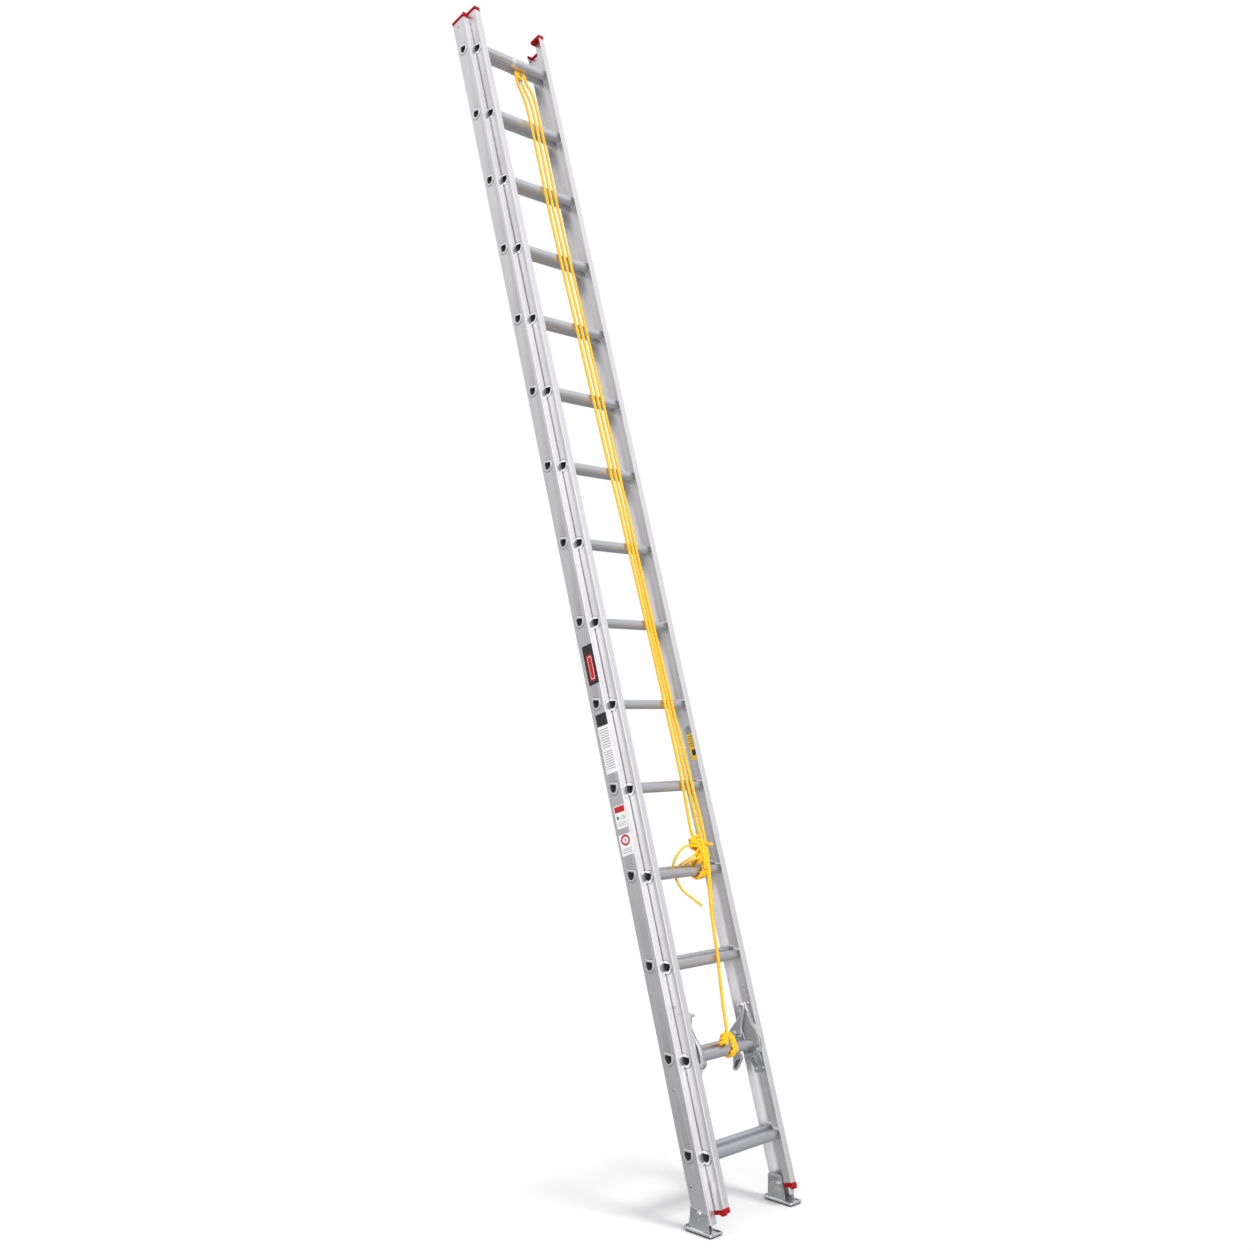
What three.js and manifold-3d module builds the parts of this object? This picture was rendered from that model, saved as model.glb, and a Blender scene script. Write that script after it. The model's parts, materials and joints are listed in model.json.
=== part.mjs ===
// Two-section aluminium extension ladder, leaning as it stands in use.
// Millimetres. X runs across the ladder, Y towards the wall, Z up. The origin is on the floor, midway
// between the feet and straight below the shoe bolts.
import * as THREE from "three";
import { mergeVertices } from "three/addons/utils/BufferGeometryUtils.js";
import Module from "manifold-3d";

const wasm = await Module();
wasm.setup();

// Driving dimensions
const LEAN = THREE.MathUtils.degToRad(16.5); // from the vertical
const PITCH = 304.8; // rung spacing
const RUNGS = 15; // in each section
const GAP = 0.35; // clearance between pieces that touch

// Base section, in the ladder's own frame: x across, y towards the wall, z along the rails,
// from the middle of the lowest base rung
const BASE_HALF = 214.5; // to the outer face of the web
const BASE_FRONT = -38.5;
const BASE_REAR = 35;
const BASE_WEB = 2.6;
const BASE_FLANGE = 26.5; // length of each flange, from the web's outer face
const BASE_FLANGE_THICK = 3.2;
const BASE_BOTTOM = -218;
const BASE_TOP = 4400;

// Fly section, from the middle of the lowest fly rung
const FLY_OFFSET_Y = -49; // from the base rung to the fly rung
const FLY_OFFSET_Z = -16;
const FLY_HALF = 184.3;
const FLY_FRONT = -31;
const FLY_REAR = 22;
const FLY_WEB = 2.4;
const FLY_FLANGE = 26.3;
const FLY_GUIDE = 20.7; // rear flange that turns outward behind the base rail's front flange
const FLY_FLANGE_THICK = 2.6;
const FLY_BOTTOM = -162;
const FLY_TOP = 4433;

// Rungs: a flat tread on top that is level when the ladder leans, and a round underside
const RUNG_RADIUS = 17;
const RUNG_TREAD = 13; // height of the tread above the middle
const RUNG_TREAD_HALF = 15;
const RUNG_BELOW = 18;
const RUNG_WALL = 2.4;
const RUNG_PROUD = 1; // past the web at each end
const TREAD_GROWTH = 0.7; // how far the tread's edges move out, for each mm the outline grows

// End caps
const CAP_OUT = 1.2; // outside the rail
const CAP_IN = 2.4; // inside the rail
const CAP_HEIGHT = 14;

// Shoes
const FOOT_X = 202; // middle of a shoe
const BOLT_HEIGHT = 62; // above the floor
const BOLT_Y = 2; // in the ladder's frame
const BOLT_ABOVE_END = 40; // from the rail's end
const BOLT_RADIUS = 4.8;
const PAD_THICK = 5.7;
const SOLE_THICK = 3;
const SIDE_THICK = 2.8;

// Rung locks, from the middle of the second fly rung
const LOCK_RUNG = 1;
const LOCK_PIN = { y: -5, z: 134.2, radius: 5 };
const TONGUE_PIN = { y: 44.5, z: 44.2, radius: 4 };
const LOCK_PIN_END = 110; // the pin's end nearest the ladder's middle
const BRACKET_X = [142.5, 147.5];
const BRACKET_FOOT = { inner: 163, front: -25, rear: 28, top: -74, bottom: -98 }; // against the fly's web
const BRACKET_SADDLE_X = 126; // inner end of the saddle under the rung
const HOOK_X = [131, 141];
const TONGUE_X = [122.5, 129.5];

// Pulley, in the ladder's frame
const PULLEY = { x: 53, y: -25.8, z: 4222, width: 8, rope: 25 };
const HANGER_BACK = -18.5; // rear face of the hanger's plate, just in front of the base rung
const HANGER_THICK = 1.6;
const AXLE_RADIUS = 4;

// Rope
const ROPE_RADIUS = 5.5;
const TAIL_RADIUS = 4.3; // the loose end is drawn thinner
const ROPE_FRONT = -74.5; // where the strands pass in front of the fly rungs
const ROPE_OUT = -85; // and near the top, where the knot passes behind them
const ROPE_SIDES = 8;
const WHEEL_ARC = { clear: 0.5, start: 0.06, steps: 12 }; // the rope's line over the wheel
const HITCH_BEND = { x: 67, z: 1032, radius: 20, steps: 6 }; // where the strand turns up again
const HITCH_X = [50, 82];

const colours = {
  web: [0xc9c7c8, 0.42, 0.9],
  rung: [0xa9adb5, 0.45, 0.9],
  cap: [0xa5101c, 0.5, 0],
  lock: [0x7d8084, 0.5, 0.85],
  steel: [0xa3a5a8, 0.38, 0.9],
  rubber: [0x1b1b1c, 0.8, 0],
  rope: [0xf4b010, 0.75, 0],
  sheave: [0xe0a012, 0.4, 0],
};

const object = new THREE.Group();
const ladder = new THREE.Group();
ladder.rotation.x = -LEAN;
const fly = new THREE.Group();
fly.position.set(0, FLY_OFFSET_Y, FLY_OFFSET_Z);
ladder.add(fly);
object.add(ladder);

// Shapes and booleans

function solid(geometry) {
  const plain = geometry.clone();
  plain.deleteAttribute("normal");
  plain.deleteAttribute("uv");
  const merged = mergeVertices(plain, 1e-4);
  return new wasm.Manifold(new wasm.Mesh({
    numProp: 3,
    vertProperties: new Float32Array(merged.attributes.position.array),
    triVerts: new Uint32Array(merged.index.array),
  }));
}

function geometryOf(manifold) {
  const mesh = manifold.getMesh();
  const geometry = new THREE.BufferGeometry();
  geometry.setAttribute("position", new THREE.BufferAttribute(mesh.vertProperties, 3));
  geometry.setIndex(new THREE.BufferAttribute(mesh.triVerts, 1));
  return geometry;
}

function join(...geometries) {
  return geometryOf(geometries.map(solid).reduce((a, b) => a.add(b)));
}

function cut(geometry, ...cutters) {
  return geometryOf(cutters.map(solid).reduce((a, b) => a.subtract(b), solid(geometry)));
}

function piece(parent, name, geometry, colour) {
  const [color, roughness, metalness] = colours[colour];
  const material = new THREE.MeshStandardMaterial({ color, roughness, metalness });
  const mesh = new THREE.Mesh(geometry, material);
  mesh.name = name;
  parent.add(mesh);
  return mesh;
}

function outline(points) {
  return new THREE.Shape(points.map(([x, y]) => new THREE.Vector2(x, y)));
}

// A section in (x, y), drawn along z from one height to another
function alongZ(points, from, to) {
  const geometry = new THREE.ExtrudeGeometry(outline(points), { depth: to - from, bevelEnabled: false });
  return geometry.translate(0, 0, from);
}

// A section in (y, z), drawn along x from one place to another, with any holes through it
function alongX(points, from, to, holes = []) {
  const shape = outline(points.map(([y, z]) => [-z, y]));
  shape.holes = holes.map((hole) => new THREE.Path(hole.map(([y, z]) => new THREE.Vector2(-z, y))));
  const geometry = new THREE.ExtrudeGeometry(shape, { depth: to - from, bevelEnabled: false });
  return geometry.rotateY(Math.PI / 2).translate(from, 0, 0);
}

// A section in (x, z), drawn along y from one place to another
function alongY(points, from, to) {
  const shape = outline(points);
  const geometry = new THREE.ExtrudeGeometry(shape, { depth: to - from, bevelEnabled: false });
  return geometry.rotateX(Math.PI / 2).translate(0, to, 0);
}

function rodX(radius, from, to, y, z, sides = 14) {
  const geometry = new THREE.CylinderGeometry(radius, radius, to - from, sides);
  return geometry.rotateZ(Math.PI / 2).translate((from + to) / 2, y, z);
}

function rodY(radius, from, to, x, z, sides = 16) {
  const geometry = new THREE.CylinderGeometry(radius, radius, to - from, sides);
  return geometry.translate(x, (from + to) / 2, z);
}

function circle(radius, y, z, count = 14) {
  return Array.from({ length: count }, (_, i) => {
    const angle = (2 * Math.PI * i) / count;
    return [y + radius * Math.cos(angle), z + radius * Math.sin(angle)];
  });
}

// A right-hand piece is the left-hand one mirrored across the ladder
function mirrored(geometry) {
  const copy = geometry.index ? geometry.toNonIndexed() : geometry.clone();
  const places = copy.attributes.position;
  for (let i = 0; i < places.count; i += 1) places.setX(i, -places.getX(i));
  for (let i = 0; i < places.count; i += 3) {
    const second = new THREE.Vector3().fromBufferAttribute(places, i + 1);
    const third = new THREE.Vector3().fromBufferAttribute(places, i + 2);
    places.setXYZ(i + 1, third.x, third.y, third.z);
    places.setXYZ(i + 2, second.x, second.y, second.z);
  }
  copy.deleteAttribute("normal");
  copy.deleteAttribute("uv");
  return mergeVertices(copy, 1e-4);
}

function bothSides(parent, name, leftGeometry, colour) {
  piece(parent, `${name}_left`, leftGeometry, colour);
  piece(parent, `${name}_right`, mirrored(leftGeometry), colour);
}

// Rungs

// A rung-shaped point, turned so that the tread is level when the ladder leans
function level(a, b) {
  return [a * Math.cos(LEAN) - b * Math.sin(LEAN), a * Math.sin(LEAN) + b * Math.cos(LEAN)];
}

// The rung's outline in (y, z) of the ladder's frame, grown by a distance
function rungOutline(grow) {
  const half = RUNG_TREAD_HALF + grow * TREAD_GROWTH;
  const points = [level(half, RUNG_TREAD + grow), level(-half, RUNG_TREAD + grow)];
  const belowArc = 8;
  for (let i = 0; i <= belowArc; i += 1) {
    const angle = Math.PI + (Math.PI * i) / belowArc;
    points.push(level((RUNG_RADIUS + grow) * Math.cos(angle), (RUNG_BELOW + grow) * Math.sin(angle)));
  }
  return points;
}

function rung(half) {
  return alongX(rungOutline(0), -half - RUNG_PROUD, half + RUNG_PROUD, [rungOutline(-RUNG_WALL)]);
}

function moved(points, y, z) {
  return points.map(([a, b]) => [a + y, b + z]);
}

function rungHoles(from, to) {
  return Array.from({ length: RUNGS }, (_, k) => alongX(moved(rungOutline(GAP), 0, k * PITCH), from, to));
}

function addRungs(parent, name, half) {
  for (let k = 0; k < RUNGS; k += 1) {
    const number = String(k + 1).padStart(2, "0");
    const mesh = piece(parent, `${name}_${number}`, rung(half), "rung");
    mesh.position.z = k * PITCH;
  }
}

// Rails

const baseSection = [
  [-BASE_HALF, BASE_FRONT],
  [-BASE_HALF + BASE_FLANGE, BASE_FRONT],
  [-BASE_HALF + BASE_FLANGE, BASE_FRONT + BASE_FLANGE_THICK],
  [-BASE_HALF + BASE_WEB, BASE_FRONT + BASE_FLANGE_THICK],
  [-BASE_HALF + BASE_WEB, BASE_REAR - BASE_FLANGE_THICK],
  [-BASE_HALF + BASE_FLANGE, BASE_REAR - BASE_FLANGE_THICK],
  [-BASE_HALF + BASE_FLANGE, BASE_REAR],
  [-BASE_HALF, BASE_REAR],
];

const flySection = [
  [-FLY_HALF, FLY_FRONT],
  [-FLY_HALF + FLY_FLANGE, FLY_FRONT],
  [-FLY_HALF + FLY_FLANGE, FLY_FRONT + FLY_FLANGE_THICK],
  [-FLY_HALF + FLY_WEB, FLY_FRONT + FLY_FLANGE_THICK],
  [-FLY_HALF + FLY_WEB, FLY_REAR],
  [-FLY_HALF - FLY_GUIDE, FLY_REAR],
  [-FLY_HALF - FLY_GUIDE, FLY_REAR - FLY_FLANGE_THICK],
  [-FLY_HALF, FLY_REAR - FLY_FLANGE_THICK],
];

const boltZ = BASE_BOTTOM + BOLT_ABOVE_END;

function baseRail() {
  const rail = alongZ(baseSection, BASE_BOTTOM, BASE_TOP);
  const boltHole = rodX(BOLT_RADIUS + GAP, -BASE_HALF - 5, -BASE_HALF + 5, BOLT_Y, boltZ);
  return cut(rail, ...rungHoles(-BASE_HALF - 5, -BASE_HALF + 5), boltHole);
}

function flyRail() {
  return cut(alongZ(flySection, FLY_BOTTOM, FLY_TOP), ...rungHoles(-FLY_HALF - 5, -FLY_HALF + 5));
}

// A moulded cap over a rail's end, following its C section
function baseCap() {
  const outer = -BASE_HALF - CAP_OUT;
  const inner = -BASE_HALF + BASE_WEB + CAP_IN;
  const tip = -BASE_HALF + BASE_FLANGE;
  const front = BASE_FRONT + BASE_FLANGE_THICK + CAP_IN;
  const rear = BASE_REAR - BASE_FLANGE_THICK - CAP_IN;
  return alongZ([
    [outer, BASE_FRONT - CAP_OUT], [tip, BASE_FRONT - CAP_OUT], [tip, front], [inner, front],
    [inner, rear], [tip, rear], [tip, BASE_REAR + CAP_OUT], [outer, BASE_REAR + CAP_OUT],
  ], BASE_TOP + GAP, BASE_TOP + CAP_HEIGHT);
}

// A fly rail's cap follows its section; the top one also covers the channel
function flyCap(from, to, covered) {
  const outer = -FLY_HALF - CAP_OUT;
  const inner = -FLY_HALF + FLY_WEB + CAP_IN;
  const tip = -FLY_HALF + FLY_FLANGE;
  const front = FLY_FRONT + FLY_FLANGE_THICK + CAP_IN;
  const guide = -FLY_HALF - FLY_GUIDE;
  const rear = FLY_REAR + CAP_OUT;
  const channel = covered ? [[tip, rear]] : [[tip, front], [inner, front], [inner, rear]];
  return alongZ([
    [outer, FLY_FRONT - CAP_OUT], [tip, FLY_FRONT - CAP_OUT], ...channel,
    [guide, rear], [guide, FLY_REAR - FLY_FLANGE_THICK - CAP_OUT],
    [outer, FLY_REAR - FLY_FLANGE_THICK - CAP_OUT],
  ], from, to);
}

// Shoes, made about their bolt in the object's frame

function shoe() {
  const solePoints = [
    [-31, -66], [29, -66], [29, 50], [17, 64], [-15, 64], [-31, 46],
  ].map(([x, y]) => [x - FOOT_X, y]);
  const top = PAD_THICK + GAP + SOLE_THICK - BOLT_HEIGHT;
  const sole = alongZ(solePoints, top - SOLE_THICK, top);
  const outerX = -BASE_HALF - GAP - SIDE_THICK;
  const innerX = -BASE_HALF + BASE_FLANGE + GAP;
  const root = top - 1;
  const outerShape = [[-44, root], [47, root], [36, 2], [36, 15], [-37, 6], [-37, -20]];
  const innerShape = [[-30, root], [46, root], [45, 22], [40, 28], [-8, 30], [-16, 24]];
  const outer = alongX(outerShape, outerX, outerX + SIDE_THICK);
  const inner = alongX(innerShape, innerX, innerX + SIDE_THICK);
  const bore = rodX(BOLT_RADIUS + GAP, outerX - 5, innerX + 10, 0, 0);
  return cut(join(sole, outer, inner), bore);
}

function shoePad() {
  const points = [[-29, -64], [27, -64], [27, 49], [16, 62], [-14, 62], [-29, 45]];
  return alongZ(points.map(([x, y]) => [x - FOOT_X, y]), -BOLT_HEIGHT, PAD_THICK - BOLT_HEIGHT);
}

function shoeBolt() {
  const outerX = -BASE_HALF - GAP - SIDE_THICK - GAP;
  const innerX = -BASE_HALF + BASE_FLANGE + GAP + SIDE_THICK + GAP;
  const shank = rodX(BOLT_RADIUS, outerX - 1, innerX + 1, 0, 0);
  const head = rodX(9, outerX - 5, outerX, 0, 0, 12);
  const nut = rodX(8.5, innerX, innerX + 6, 0, 0, 6);
  return join(shank, head, nut);
}

// Rung locks, from the middle of the second fly rung

function lockBracket() {
  const { y, z, radius } = LOCK_PIN;
  const plateShape = [
    [y + 9, z - 3], [y + 7, z + 7], [y, z + 10], [y - 7, z + 7], [y - 10, z - 3], [-16.5, 118], [-17, 98],
    [-25, 66], [-40, 39], [-45, 10], [-41, -17], [-30, -35], [-15, -44], [8, -46], [24, -39], [29, -22],
    [28, 0], [27, 28], [27, 62], [12, 86], [3, 100], [-2, 114],
  ];
  const plate = alongX(plateShape, -BRACKET_X[1], -BRACKET_X[0], [rungOutline(GAP + 0.1)]);
  const saddleShape = [
    [-38, -14], [-34, -30], [-17, -41], [8, -43], [22, -36], [27, -24], [20, -25], [8, -30], [-12, -29],
    [-26, -20],
  ];
  const saddle = alongX(saddleShape, -BRACKET_X[0] - 1, -BRACKET_SADDLE_X);
  const web = FLY_HALF - FLY_WEB - GAP;
  const { inner, front, rear, top, bottom } = BRACKET_FOOT;
  const leg = alongY([
    [-BRACKET_X[0], -26], [-BRACKET_X[0], -36], [-inner, top - 4], [-inner, bottom], [-web, bottom],
    [-web, top], [-inner - 3, top], [-BRACKET_X[1], -30], [-BRACKET_X[1], -26],
  ].reverse(), front, rear - 2);
  const pin = rodX(radius, -BRACKET_X[1] - 12, -LOCK_PIN_END, y, z);
  const pinHead = rodX(8, -HOOK_X[0] + 1, -HOOK_X[0] + 5, y, z);
  return join(plate, saddle, leg, pin, pinHead);
}

function lockHook() {
  const { y, z, radius } = LOCK_PIN;
  const shape = [
    [y - 10, z - 4], [y - 8, z + 7], [y, z + 11], [y + 9, z + 6], [7, 124], [15, 105], [41, 83], [70, 60],
    [80, 48], [84, 33], [81, 11], [72, 11], [70.5, 32], [61, 36.2], [29, 26.8], [22, 34], [18, 58], [-2, 98],
    [-13, 117],
  ];
  const plate = alongX(shape, -HOOK_X[1], -HOOK_X[0], [circle(radius + 0.5, y, z)]);
  const stub = rodX(TONGUE_PIN.radius, -HOOK_X[0] - 3, -TONGUE_X[0] + 3, TONGUE_PIN.y, TONGUE_PIN.z);
  const stubHead = rodX(7, -TONGUE_X[0] + 0.8, -TONGUE_X[0] + 3, TONGUE_PIN.y, TONGUE_PIN.z);
  return join(plate, stub, stubHead);
}

function lockTongue() {
  const { y, z, radius } = TONGUE_PIN;
  const shape = [
    [y - 8, z - 2], [y - 6, z + 6], [y + 1, z + 9], [76, 49], [88, 37], [94, 4], [87, -18], [76, -32],
    [84, -60], [89, -68], [87, -76], [79, -79.5], [69, -77], [61, -70], [41, -51], [34, -42], [38, -27],
    [56, -15], [70, -4], [74, 8], [71, 29], [63, 37.6], [47, 36.2],
  ];
  return alongX(shape, -TONGUE_X[1], -TONGUE_X[0], [circle(radius + 0.5, y, z, 12)]);
}

// Pulley on the top base rung

const topRungZ = (RUNGS - 1) * PITCH;

function pulleyHanger() {
  const around = moved(rungOutline(GAP + HANGER_THICK), 0, topRungZ);
  const inside = moved(rungOutline(GAP), 0, topRungZ);
  const strap = alongX(around, PULLEY.x - 12, PULLEY.x + 12, [inside]);
  const x = PULLEY.x;
  const z = PULLEY.z;
  const plateShape = [
    [x - 12, z + 52], [x - 17, z + 8], [x - 15, z - 14], [x - 7, z - 40], [x + 7, z - 40], [x + 15, z - 14],
    [x + 17, z + 8], [x + 12, z + 52],
  ];
  const plate = alongY(plateShape, HANGER_BACK - HANGER_THICK, HANGER_BACK);
  const bore = rodY(AXLE_RADIUS + GAP, HANGER_BACK - 5, HANGER_BACK + 5, x, z);
  const eye = rodY(4.5, HANGER_BACK - 5, HANGER_BACK + 5, x, z - 33);
  return cut(join(strap, plate), alongX(inside, x - 30, x + 30), bore, eye);
}

function pulleyWheel() {
  const half = PULLEY.width / 2;
  const groove = PULLEY.rope - ROPE_RADIUS - GAP;
  const profile = [
    [AXLE_RADIUS + GAP, -half], [groove + 0.8, -half], [groove, -half + 2], [groove, half - 2],
    [groove + 0.8, half], [AXLE_RADIUS + GAP, half], [AXLE_RADIUS + GAP, -half],
  ].map(([r, h]) => new THREE.Vector2(r, h));
  return new THREE.LatheGeometry(profile, 28).translate(PULLEY.x, PULLEY.y, PULLEY.z);
}

function pulleyAxle() {
  const back = HANGER_BACK + GAP;
  const front = PULLEY.y - PULLEY.width / 2 - GAP;
  const shank = rodY(AXLE_RADIUS, front - 1, back + 1, PULLEY.x, PULLEY.z);
  const head = rodY(10, front - 1.5, front, PULLEY.x, PULLEY.z, 20);
  const rivet = rodY(7, back, back + 2.5, PULLEY.x, PULLEY.z);
  return join(shank, head, rivet);
}

// Rope

// From the pulley's right side down in front of the fly rungs to the knot on the second fly rung
const hoistRoute = [
  [78, PULLEY.y, PULLEY.z], [77.5, -26, 4190], [70, -41, 4144], [57, -66, 4090], [47, -82, 4030],
  [46, ROPE_OUT, 3910], [54, ROPE_FRONT, 3560], [63.5, ROPE_FRONT, 3080], [74, ROPE_FRONT, 2550],
  [79, ROPE_FRONT, 2056], [87, ROPE_FRONT, 1590], [103, ROPE_FRONT, 1200], [109, ROPE_FRONT, 1060],
  [107, ROPE_FRONT, 985], [98, ROPE_FRONT, 905], [81, ROPE_FRONT, 820], [62, ROPE_FRONT, 730],
  [46, ROPE_FRONT, 620], [31, ROPE_FRONT, 510], [18, ROPE_FRONT, 425], [11, ROPE_FRONT, 358],
];

// Over the pulley, down to the hitch, round and up again to the eye under the pulley
const returnStart = [
  [28, PULLEY.y, PULLEY.z], [27.5, -26, 4190], [16, -41, 4144], [-2, -66, 4090], [-10, -82, 4030],
  [-8, ROPE_OUT, 3910], [2, ROPE_FRONT, 3560], [14, ROPE_FRONT, 3020], [26, ROPE_FRONT, 2545],
  [41, ROPE_FRONT, 2056], [52, ROPE_FRONT, 1590], [55, ROPE_FRONT, 1200], [48, ROPE_FRONT, 1064],
  [47, ROPE_FRONT, 1034],
];
const returnEnd = [
  [87, ROPE_FRONT, 1034], [86, ROPE_FRONT, 1064], [80, ROPE_FRONT, 1200], [69.5, ROPE_FRONT, 1590],
  [60, ROPE_FRONT, 2056], [50, ROPE_FRONT, 2545], [39, ROPE_FRONT, 3020], [27, ROPE_FRONT, 3560],
  [20, ROPE_OUT, 3910], [21, -81, 4030], [33, -60, 4098], [46, -38, 4150], [51, -29, 4174],
];

// From the hitch: a wide loose loop that passes behind the fly rung, and the cut end in front
const tailRoute = [
  [44.5, -80, 984], [22, -80, 984], [-8, -78, 981], [-32, -70, 965], [-42, -55, 945], [-40, -36, 925],
  [-32, -26, 908], [-29, -26, 886], [-33, -38, 859], [-29, -54, 829], [-8, -66, 802], [20, -74, 774],
];

function arc(centre, radius, from, to, steps, place) {
  return Array.from({ length: steps + 1 }, (_, i) => {
    const angle = from + ((to - from) * i) / steps;
    return place(centre[0] + radius * Math.cos(angle), centre[1] + radius * Math.sin(angle));
  });
}

// A smooth line through a route's points, stepped from point to point and not by equal lengths
class RopeLine extends THREE.CatmullRomCurve3 {
  getUtoTmapping(u) {
    return u;
  }
}

function ropeTube(route, stepsPerPoint, radius = ROPE_RADIUS) {
  const knots = route.map(([x, y, z]) => new THREE.Vector3(x, y, z));
  const path = new RopeLine(knots, false, "centripetal");
  const section = outline(circle(radius, 0, 0, ROPE_SIDES));
  const steps = (route.length - 1) * stepsPerPoint;
  return new THREE.ExtrudeGeometry(section, { steps, extrudePath: path });
}

function ropeReturn() {
  const { clear, start, steps } = WHEEL_ARC;
  const wheel = [PULLEY.x, PULLEY.z];
  const over = arc(wheel, PULLEY.rope + clear, start, Math.PI, steps, (x, z) => [x, PULLEY.y, z]);
  const { radius, x: bendX, z: bendZ } = HITCH_BEND;
  const inFront = (x, z) => [x, ROPE_FRONT, z];
  const under = arc([bendX, bendZ], radius, Math.PI, 2 * Math.PI, HITCH_BEND.steps, inFront);
  return [...over.slice(0, -1), ...returnStart.slice(0, -1), ...under, ...returnEnd.slice(1)];
}

// Turns of the lashing round the base and fly rungs and its knot in front, as one ring
function ropeHitch() {
  const outer = [
    [-84, 884], [-68, 866], [-40, 864], [12, 880], [32, 900], [32, 930], [20, 948], [-26, 954],
    [-48, 992], [-66, 1004], [-84, 996],
  ];
  const inner = [
    [-67.2, 888], [-60, 880], [-42, 879], [8, 894], [19.5, 906], [19.5, 923], [12, 934.5], [-22, 931],
    [-42, 919], [-67.2, 919],
  ];
  return alongX(outer, ...HITCH_X, [inner]);
}

// The rope's knot round the second fly rung: its turns, and its mass above the rung
function ropeKnot() {
  const outer = [
    [-31, -8], [-17, -29], [8, -30], [27, -10], [29, 20], [22, 44], [4, 58], [-22, 58], [-32, 40], [-32, 20],
  ];
  const inner = [[-20, -10], [-10, -19.5], [12, -19.5], [19.5, -6], [19, 11], [13, 20], [-21, 13]];
  const turns = alongX(outer, 9, 48, [inner]);
  const massShape = [[-30, 17], [12, 24], [20, 44], [4, 56], [-20, 56], [-30, 40]];
  return join(turns, alongX(massShape, -24, 14));
}

// Assembly

bothSides(ladder, "base_rail", baseRail(), "web");
addRungs(ladder, "base_rung", BASE_HALF);
bothSides(ladder, "base_top_cap", baseCap(), "cap");
piece(ladder, "pulley_hanger", pulleyHanger(), "steel");
piece(ladder, "pulley_wheel", pulleyWheel(), "sheave");
piece(ladder, "pulley_axle", pulleyAxle(), "steel");

bothSides(fly, "fly_rail", flyRail(), "web");
addRungs(fly, "fly_rung", FLY_HALF);
bothSides(fly, "fly_top_cap", flyCap(FLY_TOP + GAP, FLY_TOP + CAP_HEIGHT, true), "cap");
bothSides(fly, "fly_bottom_cap", flyCap(FLY_BOTTOM - CAP_HEIGHT, FLY_BOTTOM - GAP, false), "cap");

const lock = new THREE.Group();
lock.position.z = LOCK_RUNG * PITCH;
fly.add(lock);
bothSides(lock, "lock_bracket", lockBracket(), "lock");
bothSides(lock, "lock_hook", lockHook(), "lock");
bothSides(lock, "lock_tongue", lockTongue(), "lock");
piece(lock, "rope_knot", ropeKnot(), "rope");

piece(ladder, "rope_hoist", ropeTube(hoistRoute, 2), "rope");
piece(ladder, "rope_return", ropeTube(ropeReturn(), 1), "rope");
piece(ladder, "rope_hitch", ropeHitch(), "rope");
piece(ladder, "rope_tail", ropeTube(tailRoute, 2, TAIL_RADIUS), "rope");

// The lowest base rung's middle, placed so that each shoe bolt is straight above the origin's line
const boltBehind = BOLT_Y * Math.cos(LEAN) + boltZ * Math.sin(LEAN);
const boltBelow = -BOLT_Y * Math.sin(LEAN) + boltZ * Math.cos(LEAN);
ladder.position.set(0, -boltBehind, BOLT_HEIGHT - boltBelow);

const feet = new THREE.Group();
feet.position.z = BOLT_HEIGHT;
object.add(feet);
bothSides(feet, "shoe", shoe(), "steel");
bothSides(feet, "shoe_pad", shoePad(), "rubber");
bothSides(feet, "shoe_bolt", shoeBolt(), "steel");

export default object;
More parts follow.
